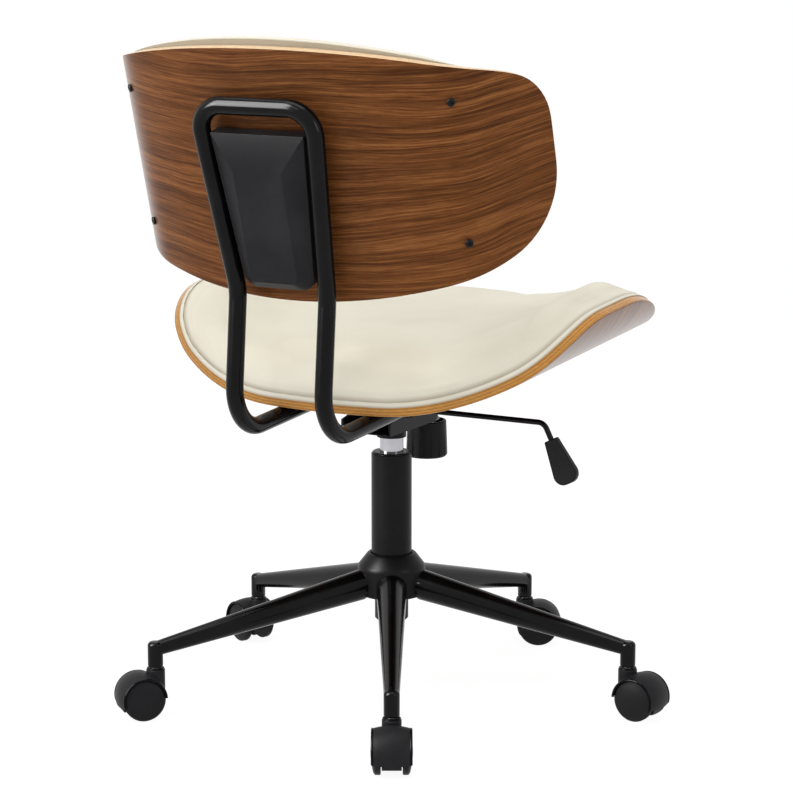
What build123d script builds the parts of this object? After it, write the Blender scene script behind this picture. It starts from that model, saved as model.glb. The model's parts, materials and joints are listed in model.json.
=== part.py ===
"""Office chair: two bent ply shells with cushions, a tube back frame, a tilting seat mechanism, a gas lift
column and a five-leg base on twin-wheel casters.

Millimetres, +Z up. The origin is on the floor under the column. The sitter faces -Y and the lever is on -X.
"""
import os
from dataclasses import dataclass
from math import cos, radians, sin

from build123d import *

# Clearances
RUN_GAP = 0.05
FIT_GAP = 0.1
FACE_GAP = 0.3

# Main heights: the seat ply's underside over the column, and what is set from it
SEAT_HEIGHT = 383.2
BACK_RISE = 261.3
BACK_Z = SEAT_HEIGHT + BACK_RISE
HOUSING_DROP = 54.2
HOUSING_FLOOR = SEAT_HEIGHT - HOUSING_DROP
HOUSING_STEP = 12.0
HOUSING_FRONT_FLOOR = HOUSING_FLOOR + HOUSING_STEP
HOUSING_REAR_HEIGHT = 15.0
HOUSING_REAR_TOP = HOUSING_FLOOR + HOUSING_REAR_HEIGHT
HOUSING_FRONT_HEIGHT = 20.0
HOUSING_FRONT_TOP = HOUSING_FRONT_FLOOR + HOUSING_FRONT_HEIGHT
LEVER_RISE = 22.0
LEVER_HEIGHT = HOUSING_FLOOR + LEVER_RISE
TAPER_RISE = 13.0
CYLINDER_TOP = HOUSING_FLOOR + TAPER_RISE
COLUMN_DROP = 33.0
COLUMN_TOP = HOUSING_FLOOR - COLUMN_DROP
KNOB_DROP = 20.0
KNOB_TOP = HOUSING_FRONT_FLOOR - KNOB_DROP
KNOB_HEIGHT = 44.0
KNOB_BOTTOM = KNOB_TOP - KNOB_HEIGHT

# Casters and legs
WHEEL_RADIUS = 25.0
WHEEL_INNER = 12.0
WHEEL_TREAD_END = 18.0
WHEEL_SHOULDER = 20.4
WHEEL_FACE_RADIUS = 22.6
WHEEL_CROWN = 23.4
AXLE_RADIUS = 3.0
AXLE_HALF = 20.0
HOOD_EDGE = 21.0
HOOD_RADIUS = 29.0
HOOD_EDGE_DROP = 3.0
HOOD_WALL = 2.6
HOOD_WEB_HALF = 11.0
HOOD_FLOOR_GAP = 11.0
HOOD_FRONT_ANGLE = 4.0
HOOD_REAR_ANGLE = 198.0
CASTER_TRAIL = 18.0
NECK_RADIUS = 11.0
NECK_RIM = 8.6
STEM_RADIUS = 5.4
STEM_REACH = 25.0
SOCKET_RADIUS = 9.0
SOCKET_BOTTOM = 60.0
STEM_CIRCLE = 290.0
KNEE_TOP = 90.0
LEG_COUNT = 5
FIRST_LEG_ANGLE = 119.0
LEG_ROOT = 28.0
LEG_ROOT_RADIUS = 18.5
LEG_ROOT_TOP = 159.0
LEG_WALL = 2.0
KNEE_RADIUS = 8.6
KNEE_ROUND = 5.0
CASTER_YAWS = (119.0, 174.0, 203.0, 333.0, 49.0)

# Hub and gas lift column
HUB_BOTTOM = 125.0
HUB_TOP = 176.0
HUB_SHOULDER = 158.0
HUB_RADIUS = 39.0
HUB_FOOT_RADIUS = 37.0
HUB_NECK_RADIUS = 27.5
COLUMN_RADIUS = 24.0
COLUMN_WALL = 2.4
COLUMN_BOTTOM = 91.0
COLUMN_TAIL_RADIUS = 20.0
COLUMN_FLOOR = 3.0
TAPER_SIDE = 2.0
CYLINDER_RADIUS = 14.0
CYLINDER_WALL = 2.0
CYLINDER_BOTTOM = 128.0
CYLINDER_FOOT = 8.0
CYLINDER_CAP = 12.0
TAPER_LENGTH = 26.0
TAPER_DROP = 0.7
ROD_RADIUS = 5.0
PISTON_LENGTH = 12.0
PISTON_MARGIN = 17.0
LIFT_TRAVEL = 85.0
PISTON_FLOOR = CYLINDER_BOTTOM + CYLINDER_FOOT + LIFT_TRAVEL + PISTON_MARGIN
BUSH_LENGTH = 70.0
BUSH_LIP = 2.5
BEARING_RADIUS = 12.0
WASHER = 2.0
CAGE = 3.5
BUMP_LENGTH = 10.0
CLIP_RADIUS = 9.0
CLIP_THICKNESS = 1.6
BUTTON_RADIUS = 4.0
BUTTON_GAP = 0.45

# Seat shell: section across the seat, and the rim of the shell laid flat
PLY = 12.0
SEAT_PITCH = 3.65
SEAT_FLAT = 70.0
SEAT_BOWL_RADIUS = 321.0
SEAT_BOWL_REACH = 219.0
SEAT_WING_RADIUS = 127.0
SEAT_WING_ANGLE = 66.5
SEAT_REAR = 166.0
SEAT_REAR_RADIUS = 440.0
SEAT_REAR_CORNER = 116.0
SEAT_FRONT = 282.0
SEAT_FRONT_RADIUS = 1200.0
SEAT_FRONT_CORNER = 148.0
SEAT_SIDE = 308.0
SEAT_PAD_EDGE = 18.0
SEAT_PAD_CROWN = 38.0
SEAT_PAD_LEAN = 20.0

# Backrest shell
BACK_PLY = 11.0
BACK_Y = 263.0
BACK_RECLINE = 15.73
BACK_FLAT = 1.0
BACK_BOWL_RADIUS = 450.0
BACK_BOWL_REACH = 185.0
BACK_WING_RADIUS = 95.0
BACK_WING_ANGLE = 61.5
BACK_TOP = 150.0
BACK_TOP_RADIUS = 740.0
BACK_TOP_CORNER = 70.0
BACK_BOTTOM = 142.0
BACK_BOTTOM_RADIUS = 1150.0
BACK_BOTTOM_CORNER = 92.0
BACK_SIDE = 332.0
BACK_PAD_EDGE = 18.0
BACK_PAD_CROWN = 16.0
PAD_INSET = 3.0
RIM_SAMPLES = 72
BACK_SCREW_ALONG = 211.0
BACK_SCREW_UP = 80.0
SCREW_HEAD_RADIUS = 4.6
SCREW_HEAD = 2.6
SCREW_SHANK = 2.4

# Back frame: one bent tube
TUBE_RADIUS = 10.0
TUBE_WALL = 2.0
FRAME_HALF_LOW = 57.0
FRAME_HALF_TOP = 73.5
FRAME_FRONT = 55.0
FRAME_REAR = 262.0
FRAME_KINK_DROP = 125.0
FRAME_KINK_BACK = 18.0
FRAME_TOP_UP = 90.0
FRAME_TOP_BACK = 15.5
FRAME_LOW_BEND = 50.0
FRAME_KINK_BEND = 70.0
FRAME_TOP_BEND = 30.0

# Bracket and cover between the uprights
BRACKET_PLATE = 3.0
BRACKET_HALF = 46.0
BRACKET_TOP = 42.0
BRACKET_BOTTOM = 82.0
RIB_DEPTH = 14.0
RIB_UPS = (30.0, -70.0)
COVER_TOP = 60.0
COVER_BOTTOM = 119.0
COVER_HALF_TOP = 58.5
COVER_HALF_BOTTOM = 43.5
COVER_START = 4.0
COVER_RIM_BACK = 20.0
COVER_FACE_BACK = 31.0
COVER_FACE_TOP = 20.0
COVER_FACE_BOTTOM = 108.0
COVER_FACE_HALF = 30.0
COVER_CORNER = 18.0
COVER_WALL = 2.5
BOLT_RADIUS = 3.0
BOLT_HEAD_RADIUS = 5.5
BOLT_HEAD = 4.0
BRACKET_BOLT_ACROSS = 25.0
BRACKET_BOLT_UPS = (12.0, -48.0)

# Seat mechanism, placed from the seat's underside
PLATE = 3.0
PLATE_HALF = 44.0
PLATE_FRONT = 112.0
PLATE_REAR = 92.0
FLANGE_INNER = 36.0
FLANGE_DEPTH = 14.0
FLANGE_REAR = 62.0
PIVOT_FORWARD = 37.0
PIVOT_DROP = 23.5
PIVOT_EAR = 12.0
PIN_RADIUS = 5.0
PIN_HEAD_RADIUS = 8.0
PIN_HEAD = 3.0
ANCHOR_DROP = 16.6
ANCHOR_RADIUS = 6.0
ANCHOR_EAR = 11.0
HOUSING_HALF = 33.0
HOUSING_WALL = 3.0
HOUSING_STEP_Y = -60.0
HOUSING_REAR = 62.0
HOUSING_FRONT = -118.0
HOUSING_EAR = 11.0
TAPER_SOCKET_WALL = 3.4
SEAT_BOLT_BACKS = (-30.0, 62.0)
PLATE_BOLT_ACROSS = 21.0
PLATE_BOLT_BACKS = (-62.0, 76.0)
NUT_FLANGE_RADIUS = 9.0
NUT_FLANGE = 1.5
NUT_BARREL_RADIUS = 4.0

# Tension bolt, knob and spring
TENSION_Y = -88.0
KNOB_RADIUS = 25.0
KNOB_TOP_RADIUS = 23.6
KNOB_FLOOR = 8.0
KNOB_CUP_RADIUS = 20.5
KNOB_FLUTES = 14
FLUTE_RADIUS = 2.2
TENSION_BOLT_INSET = 2.5
SPRING_SEAT = 2.5
SPRING_SEAT_RADIUS = 19.0
SPRING_RADIUS = 13.5
SPRING_WIRE = 1.7
SPRING_TURNS = 5
SLOT_FORWARD = 13.0
SLOT_BACK = 7.0

# Lever
LEVER_RADIUS = 3.25
LEVER_INNER_END = 20.0
LEVER_BEND_X = -200.0
LEVER_BEND_RADIUS = 12.0
LEVER_BUSH_RADIUS = 6.0
LEVER_BUSH_HALF = 8.0
GRIP_LEAN = 26.57
GRIP_START = 20.8
GRIP_LENGTH = 54.8
GRIP_NECK_WIDTH = 16.5
GRIP_END_WIDTH = 35.0
GRIP_THICKNESS = 9.0
GRIP_EDGE = 2.0
GRIP_CORNER = 12.0
GRIP_HOLE_DEPTH = 26.0


@dataclass
class Bend:
    """Section of a bent shell, alike on both sides: flat middle, bowl, tighter bend and straight wing."""

    flat: float
    bowl_radius: float
    bowl_reach: float
    wing_radius: float
    wing_angle: float

    def bowl_angle(self):
        return (self.bowl_reach - self.flat) / self.bowl_radius

    def wing_reach(self):
        return self.bowl_reach + self.wing_radius * (radians(self.wing_angle) - self.bowl_angle())

    def angle(self, along):
        """Slope of the section, in radians, at a distance along its outer face."""
        along = abs(along)
        if along <= self.flat:
            return 0.0
        if along <= self.bowl_reach:
            return (along - self.flat) / self.bowl_radius
        if along <= self.wing_reach():
            return self.bowl_angle() + (along - self.bowl_reach) / self.wing_radius
        return radians(self.wing_angle)

    def point(self, along, depth):
        """Point of the section at a distance along the outer face and a depth towards the hollow side."""
        side = -1.0 if along < 0 else 1.0
        along = abs(along)
        slope = self.angle(along)
        x = min(along, self.flat)
        y = 0.0
        if along > self.flat:
            bowl = min(slope, self.bowl_angle())
            x += self.bowl_radius * sin(bowl)
            y += self.bowl_radius * (1 - cos(bowl))
        if along > self.bowl_reach:
            x += self.wing_radius * (sin(slope) - sin(self.bowl_angle()))
            y += self.wing_radius * (cos(self.bowl_angle()) - cos(slope))
        tail = max(0.0, along - self.wing_reach())
        x += tail * cos(slope) - depth * sin(slope)
        y += tail * sin(slope) + depth * cos(slope)
        return side * x, y

    def curve(self, reach, depth):
        """Edges of the section at a depth, from one end to the other."""
        stops = [-reach, -self.bowl_reach, -self.flat, self.flat, self.bowl_reach, reach]
        if self.wing_reach() < reach:
            stops = sorted(stops + [-self.wing_reach(), self.wing_reach()])
        edges = []
        for start, end in zip(stops[:-1], stops[1:]):
            first, last = self.point(start, depth), self.point(end, depth)
            middle = self.point((start + end) / 2, depth)
            straight = abs(self.angle(start) - self.angle(end)) < 1e-6 or start == -self.flat
            edges.append(Line(first, last) if straight else ThreePointArc(first, middle, last))
        return edges

    def layer(self, reach, inner, outer, low, high):
        """Solid between two depths of the section, drawn out along its straight direction."""
        near, far = self.curve(reach, inner), self.curve(reach, outer)
        ends = [Line(near[0] @ 0, far[0] @ 0), Line(near[-1] @ 1, far[-1] @ 1)]
        face = make_face(near + far + ends)
        return Pos(0, 0, low) * extrude(face, amount=high - low, dir=(0, 0, 1))


SEAT_BEND = Bend(SEAT_FLAT, SEAT_BOWL_RADIUS, SEAT_BOWL_REACH, SEAT_WING_RADIUS, SEAT_WING_ANGLE)
BACK_BEND = Bend(BACK_FLAT, BACK_BOWL_RADIUS, BACK_BOWL_REACH, BACK_WING_RADIUS, BACK_WING_ANGLE)

SEAT_PLANE = Plane(
    origin=(0, 0, SEAT_HEIGHT),
    x_dir=(1, 0, 0),
    z_dir=(0, -cos(radians(SEAT_PITCH)), sin(radians(SEAT_PITCH))),
)
BACK_PLANE = Plane(
    origin=(0, BACK_Y, BACK_Z),
    x_dir=(-1, 0, 0),
    z_dir=(0, sin(radians(BACK_RECLINE)), cos(radians(BACK_RECLINE))),
)


def under_seat(x, back, up):
    """Point in the chair's frame from the seat's underside: across, backwards and up from it."""
    return SEAT_PLANE.from_local_coords(Vector(x, up, -back))


def behind_back(x, up, back):
    """Point in the chair's frame from the backrest's rear face: across, upwards and back from it."""
    return BACK_PLANE.from_local_coords(Vector(-x, -back, up))


def crowned_outline(side, top, top_radius, top_corner, bottom, bottom_radius, bottom_corner):
    """Flat blank with arched top and bottom edges, straight sides and rounded corners."""
    top_end = top - (top_radius - (top_radius**2 - side**2) ** 0.5)
    bottom_end = -bottom + (bottom_radius - (bottom_radius**2 - side**2) ** 0.5)
    face = make_face(
        [
            ThreePointArc((-side, top_end), (0, top), (side, top_end)),
            Line((side, top_end), (side, bottom_end)),
            ThreePointArc((side, bottom_end), (0, -bottom), (-side, bottom_end)),
            Line((-side, bottom_end), (-side, top_end)),
        ]
    )
    corners = face.vertices()
    upper = corners.filter_by(lambda vertex: vertex.Y > (top_end + bottom_end) / 2)
    face = fillet(upper, top_corner)
    lower = face.vertices().filter_by(
        lambda vertex: vertex.Y < bottom_end + 1.0 and abs(vertex.X) > side - 1.0
    )
    return fillet(lower, bottom_corner)


def rim_points(outline, grow):
    """Points round the outline, moved outwards by a distance."""
    wire = (outline if grow == 0 else offset(outline, amount=grow)).faces()[0].outer_wire()
    return [wire.position_at(i / RIM_SAMPLES) for i in range(RIM_SAMPLES)]


def bent_loop(bend, points, depth):
    """Closed curve: flat points laid on the bent shell at a depth."""
    return Spline([(*bend.point(p.X, depth), p.Y) for p in points], periodic=True)


def piece_at(pieces, point):
    """The one of several solids that holds a point."""
    return [piece for piece in pieces.solids() if piece.is_inside(point)][0]


def trim_to_rim(block, bend, points, inner, outer):
    """Cuts a layer of the shell to its rim, with the edge square to the sheet."""
    wall = Face.make_surface_from_curves(bent_loop(bend, points, inner), bent_loop(bend, points, outer))
    return piece_at(block.split(wall, keep=Keep.ALL), (*bend.point(0, (inner + outer) / 2), 0))


def cylinder_between(start, end, radius):
    start, end = Vector(*start), Vector(*end)
    plane = Plane(origin=start, z_dir=end - start)
    return extrude(plane * Circle(radius), amount=(end - start).length, dir=end - start)


def ring(outer, inner, low, high):
    return Pos(0, 0, low) * extrude(Circle(outer) - Circle(inner), amount=high - low)


def turned(points):
    """Solid turned about Z from a closed list of (radius, height) points."""
    return revolve(make_face(Plane.XZ * Polyline(*points, close=True)), Axis.Z)


def dome(edge, radius, crown):
    """Arc of a spherical cap on the X axis, from its edge to its crown."""
    rise = crown - edge
    sphere = (radius**2 + rise**2) / (2 * rise)
    middle = radius / 2
    midway = (crown - sphere + (sphere**2 - middle**2) ** 0.5, middle)
    return ThreePointArc((edge, radius), midway, (crown, 0))


def save(shape, node):
    solids = shape if isinstance(shape, list) else [shape]
    solids = [solid for item in solids for solid in item.solids()]
    export_step(solids[0] if len(solids) == 1 else Compound(children=solids), f"parts/{node}.step")


# Casters

def wheel():
    """Wheel on the +Y side of the axle, at the axle's own origin."""
    with_dome = [
        Line((AXLE_HALF + FIT_GAP, 0), (AXLE_HALF + FIT_GAP, AXLE_RADIUS + RUN_GAP)),
        Line((AXLE_HALF + FIT_GAP, AXLE_RADIUS + RUN_GAP), (WHEEL_INNER, AXLE_RADIUS + RUN_GAP)),
        Line((WHEEL_INNER, AXLE_RADIUS + RUN_GAP), (WHEEL_INNER, WHEEL_RADIUS - 1)),
        Line((WHEEL_INNER, WHEEL_RADIUS - 1), (WHEEL_INNER + 1, WHEEL_RADIUS)),
        Line((WHEEL_INNER + 1, WHEEL_RADIUS), (WHEEL_TREAD_END, WHEEL_RADIUS)),
        ThreePointArc(
            (WHEEL_TREAD_END, WHEEL_RADIUS),
            (WHEEL_TREAD_END + 0.75 * (WHEEL_SHOULDER - WHEEL_TREAD_END), WHEEL_RADIUS - 0.75),
            (WHEEL_SHOULDER, WHEEL_FACE_RADIUS),
        ),
        dome(WHEEL_SHOULDER, WHEEL_FACE_RADIUS, WHEEL_CROWN),
        Line((WHEEL_CROWN, 0), (AXLE_HALF + FIT_GAP, 0)),
    ]
    face = make_face(with_dome)
    return Rot(Z=90) * revolve(face, Axis.X)


def hood():
    """Caster body: barrel-shaped guard over both wheels, a web between them and a neck for the stem."""
    edge = HOOD_RADIUS - HOOD_EDGE_DROP
    crown = [
        ThreePointArc((-HOOD_EDGE, edge), (0, HOOD_RADIUS), (HOOD_EDGE, edge)),
        Line((HOOD_EDGE, edge), (HOOD_EDGE, edge - HOOD_WALL + 0.6)),
        Line((HOOD_EDGE, edge - HOOD_WALL + 0.6), (WHEEL_TREAD_END + 1.2, WHEEL_RADIUS + 1)),
        Line((WHEEL_TREAD_END + 1.2, WHEEL_RADIUS + 1), (-WHEEL_TREAD_END - 1.2, WHEEL_RADIUS + 1)),
        Line((-WHEEL_TREAD_END - 1.2, WHEEL_RADIUS + 1), (-HOOD_EDGE, edge - HOOD_WALL + 0.6)),
        Line((-HOOD_EDGE, edge - HOOD_WALL + 0.6), (-HOOD_EDGE, edge)),
    ]
    sweep_angle = HOOD_REAR_ANGLE - HOOD_FRONT_ANGLE
    guard = revolve(make_face(crown), Axis.X, sweep_angle)
    guard = Rot(Y=HOOD_FRONT_ANGLE) * Rot(Z=90) * guard
    web = Rot(X=90) * extrude(Circle(WHEEL_RADIUS + 2), amount=HOOD_WEB_HALF, both=True)
    keep = Pos(0, 0, HOOD_FLOOR_GAP - WHEEL_RADIUS) * Box(
        4 * HOOD_RADIUS, 4 * HOOD_RADIUS, 2 * HOOD_RADIUS, align=(Align.CENTER, Align.CENTER, Align.MIN)
    )
    body = guard + (web & keep)
    body = Pos(CASTER_TRAIL, 0, WHEEL_RADIUS) * body
    neck_top = SOCKET_BOTTOM - FACE_GAP - 1.0
    neck = Pos(0, 0, WHEEL_RADIUS) * Cylinder(
        NECK_RADIUS, neck_top - WHEEL_RADIUS, align=(Align.CENTER, Align.CENTER, Align.MIN)
    )
    neck = chamfer(neck.edges().group_by(Axis.Z)[-1], NECK_RADIUS - NECK_RIM)
    stem_room = Pos(0, 0, SOCKET_BOTTOM - STEM_REACH) * Cylinder(
        STEM_RADIUS, 2 * STEM_REACH, align=(Align.CENTER, Align.CENTER, Align.MIN)
    )
    axle_room = Pos(CASTER_TRAIL, 0, WHEEL_RADIUS) * Rot(X=90) * Cylinder(AXLE_RADIUS, 4 * AXLE_HALF)
    return body + neck - stem_room - axle_room


def stem():
    low, high = SOCKET_BOTTOM - STEM_REACH, SOCKET_BOTTOM + STEM_REACH
    shank = Pos(0, 0, low) * Cylinder(STEM_RADIUS, high - low, align=(Align.CENTER, Align.CENTER, Align.MIN))
    shank = chamfer(shank.edges().group_by(Axis.Z)[-1], 1.5)
    groove = ring(STEM_RADIUS + 1, STEM_RADIUS - 0.9, high - 8, high - 5)
    return shank - groove


def axle():
    return Pos(CASTER_TRAIL, 0, WHEEL_RADIUS) * Rot(X=90) * Cylinder(AXLE_RADIUS, 2 * AXLE_HALF)


def leg_place(index):
    return Rot(Z=FIRST_LEG_ANGLE + index * 360.0 / LEG_COUNT)


def save_casters():
    near = Pos(CASTER_TRAIL, 0, WHEEL_RADIUS) * wheel()
    far = mirror(near, about=Plane.XZ)
    for index, yaw in enumerate(CASTER_YAWS):
        angle = radians(FIRST_LEG_ANGLE + index * 360.0 / LEG_COUNT)
        place = Pos(STEM_CIRCLE * cos(angle), STEM_CIRCLE * sin(angle), 0) * Rot(Z=yaw)
        pieces = {"hood": hood(), "stem": stem(), "axle": axle(), "wheel_a": near, "wheel_b": far}
        for name, piece in pieces.items():
            save(place * piece, f"caster_{index + 1}_{name}")


# Base and column

def hub_outside():
    profile = [
        Line((0, HUB_BOTTOM), (HUB_FOOT_RADIUS, HUB_BOTTOM)),
        Line((HUB_FOOT_RADIUS, HUB_BOTTOM), (HUB_RADIUS, HUB_SHOULDER)),
        ThreePointArc(
            (HUB_RADIUS, HUB_SHOULDER),
            (
                HUB_RADIUS - 0.28 * (HUB_RADIUS - HUB_NECK_RADIUS),
                HUB_SHOULDER + 0.62 * (HUB_TOP - HUB_SHOULDER),
            ),
            (HUB_NECK_RADIUS, HUB_TOP),
        ),
        Line((HUB_NECK_RADIUS, HUB_TOP), (0, HUB_TOP)),
        Line((0, HUB_TOP), (0, HUB_BOTTOM)),
    ]
    return revolve(make_face([Plane.XZ * edge for edge in profile]), Axis.Z)


def column_outside(grow):
    """Outside of the column tube, tapered where the hub grips it."""
    waist = COLUMN_RADIUS - TAPER_SIDE
    return turned(
        [
            (0, COLUMN_BOTTOM),
            (COLUMN_TAIL_RADIUS - 5 + grow, COLUMN_BOTTOM),
            (COLUMN_TAIL_RADIUS + grow, COLUMN_BOTTOM + 5),
            (COLUMN_TAIL_RADIUS + grow, HUB_BOTTOM - 5),
            (waist + grow, HUB_BOTTOM),
            (COLUMN_RADIUS + grow, HUB_TOP),
            (COLUMN_RADIUS + grow, COLUMN_TOP),
            (0, COLUMN_TOP),
        ]
    )


def column_inside_radius():
    return COLUMN_TAIL_RADIUS - COLUMN_WALL


def column_tube():
    floor = COLUMN_BOTTOM + COLUMN_FLOOR
    wide = COLUMN_RADIUS - COLUMN_WALL
    bore = turned(
        [
            (0, COLUMN_BOTTOM - 1),
            (ROD_RADIUS + 1, COLUMN_BOTTOM - 1),
            (ROD_RADIUS + 1, floor),
            (column_inside_radius(), floor),
            (column_inside_radius(), HUB_TOP),
            (wide, HUB_TOP + TAPER_SIDE + 2),
            (wide, COLUMN_TOP + 1),
            (0, COLUMN_TOP + 1),
        ]
    )
    return column_outside(0) - bore


def leg_cone(shrink, end):
    """Tapered round tube from the hub towards the knee, along +X; shrink gives its inside."""
    root = Vector(LEG_ROOT, 0, LEG_ROOT_TOP - LEG_ROOT_RADIUS)
    knee = Vector(STEM_CIRCLE, 0, KNEE_TOP - SOCKET_RADIUS)
    share = (end - LEG_ROOT) / (STEM_CIRCLE - LEG_ROOT)
    run = (knee - root) * share
    end_radius = LEG_ROOT_RADIUS + share * (KNEE_RADIUS - LEG_ROOT_RADIUS)
    cone = Cone(
        LEG_ROOT_RADIUS - shrink,
        end_radius - shrink,
        run.length,
        align=(Align.CENTER, Align.CENTER, Align.MIN),
    )
    return Plane(origin=root, x_dir=(0, 1, 0), z_dir=run).location * cone


def leg():
    """One leg along +X: a tapered tube with a drop socket for the caster stem at its knee."""
    socket = Pos(STEM_CIRCLE, 0, SOCKET_BOTTOM) * Cylinder(
        SOCKET_RADIUS, KNEE_TOP - SOCKET_BOTTOM, align=(Align.CENTER, Align.CENTER, Align.MIN)
    )
    socket = chamfer(socket.edges().group_by(Axis.Z)[0], 1.6)
    socket = fillet(socket.edges().group_by(Axis.Z)[-1], KNEE_ROUND)
    inside = leg_cone(LEG_WALL, STEM_CIRCLE - 2 * SOCKET_RADIUS)
    bore = Pos(STEM_CIRCLE, 0, SOCKET_BOTTOM - 1) * Cylinder(
        STEM_RADIUS + RUN_GAP, STEM_REACH + 2, align=(Align.CENTER, Align.CENTER, Align.MIN)
    )
    hub_foot = Cylinder(HUB_FOOT_RADIUS, 2 * HUB_BOTTOM + 1)
    return leg_cone(0, STEM_CIRCLE) + socket - inside - bore - hub_outside() - hub_foot


def save_base():
    save(hub_outside() - column_outside(FIT_GAP), "base_hub")
    one_leg = leg()
    for index in range(LEG_COUNT):
        save(leg_place(index) * one_leg, f"base_leg_{index + 1}")
    save(column_tube(), "column_tube")
    bush_outer = COLUMN_RADIUS - COLUMN_WALL - FIT_GAP
    bush = ring(bush_outer, CYLINDER_RADIUS + RUN_GAP, COLUMN_TOP - BUSH_LENGTH, COLUMN_TOP)
    lip = ring(COLUMN_RADIUS - 1, CYLINDER_RADIUS + RUN_GAP, COLUMN_TOP, COLUMN_TOP + BUSH_LIP)
    lip = chamfer(lip.edges().group_by(Axis.Z)[-1].sort_by(SortBy.LENGTH)[-1], 1.2)
    save(bush + lip, "guide_bush")
    low = COLUMN_BOTTOM + COLUMN_FLOOR
    race = ring(BEARING_RADIUS, ROD_RADIUS + FACE_GAP, low, low + WASHER)
    cage = ring(BEARING_RADIUS, ROD_RADIUS + FACE_GAP, low + WASHER, low + WASHER + CAGE)
    upper = ring(BEARING_RADIUS, ROD_RADIUS + FACE_GAP, low + WASHER + CAGE, low + 2 * WASHER + CAGE)
    save([race, cage, upper], "thrust_bearing")


def shoulder_bottom():
    return COLUMN_BOTTOM + COLUMN_FLOOR + 2 * WASHER + CAGE + RUN_GAP


def save_rod():
    low = shoulder_bottom()
    clip_top = COLUMN_BOTTOM - FACE_GAP
    piston = CYLINDER_RADIUS - CYLINDER_WALL - RUN_GAP
    rod = turned(
        [
            (0, clip_top - 2 * CLIP_THICKNESS),
            (ROD_RADIUS, clip_top - 2 * CLIP_THICKNESS),
            (ROD_RADIUS, low),
            (ROD_RADIUS + 4, low),
            (ROD_RADIUS + 4, low + 2.5),
            (ROD_RADIUS, low + 2.5),
            (ROD_RADIUS, PISTON_FLOOR),
            (piston, PISTON_FLOOR),
            (piston, PISTON_FLOOR + PISTON_LENGTH),
            (0, PISTON_FLOOR + PISTON_LENGTH),
        ]
    )
    save(rod, "piston_rod")
    save(ring(CLIP_RADIUS, ROD_RADIUS, clip_top - CLIP_THICKNESS, clip_top), "retaining_clip")
    bump = ring(2 * ROD_RADIUS, ROD_RADIUS + RUN_GAP, low + 2.5, low + 2.5 + BUMP_LENGTH)
    save(bump, "bump_ring")


def save_cylinder():
    bore = CYLINDER_RADIUS - CYLINDER_WALL
    taper_low = CYLINDER_TOP - TAPER_LENGTH
    body = turned(
        [
            (ROD_RADIUS + RUN_GAP, CYLINDER_BOTTOM),
            (CYLINDER_RADIUS, CYLINDER_BOTTOM),
            (CYLINDER_RADIUS, taper_low),
            (CYLINDER_RADIUS - TAPER_DROP, CYLINDER_TOP),
            (BUTTON_RADIUS + RUN_GAP, CYLINDER_TOP),
            (BUTTON_RADIUS + RUN_GAP, CYLINDER_TOP - CYLINDER_CAP),
            (bore, CYLINDER_TOP - CYLINDER_CAP),
            (bore, CYLINDER_BOTTOM + CYLINDER_FOOT),
            (ROD_RADIUS + RUN_GAP, CYLINDER_BOTTOM + CYLINDER_FOOT),
        ]
    )
    save(body, "gas_cylinder")
    top = LEVER_HEIGHT - LEVER_RADIUS - BUTTON_GAP
    low = CYLINDER_TOP - CYLINDER_CAP + 1
    profile = [
        Line((low, 0), (low, BUTTON_RADIUS)),
        Line((low, BUTTON_RADIUS), (top - 1.2, BUTTON_RADIUS)),
        dome(top - 1.2, BUTTON_RADIUS, top),
        Line((top, 0), (low, 0)),
    ]
    save(Rot(Y=-90) * revolve(make_face(profile), Axis.X), "release_button")


# Seat mechanism

def pivot_point():
    return under_seat(0, -PIVOT_FORWARD, -PIVOT_DROP)


def anchor_point():
    """Middle of the tension bolt's cross bar, straight above the knob."""
    height = under_seat(0, TENSION_Y, -ANCHOR_DROP).Z
    return Vector(0, TENSION_Y, height)


def across(point, radius, half):
    """Cylinder across the chair, centred on a point."""
    return Pos(*point) * Rot(Y=90) * Cylinder(radius, 2 * half)


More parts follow.
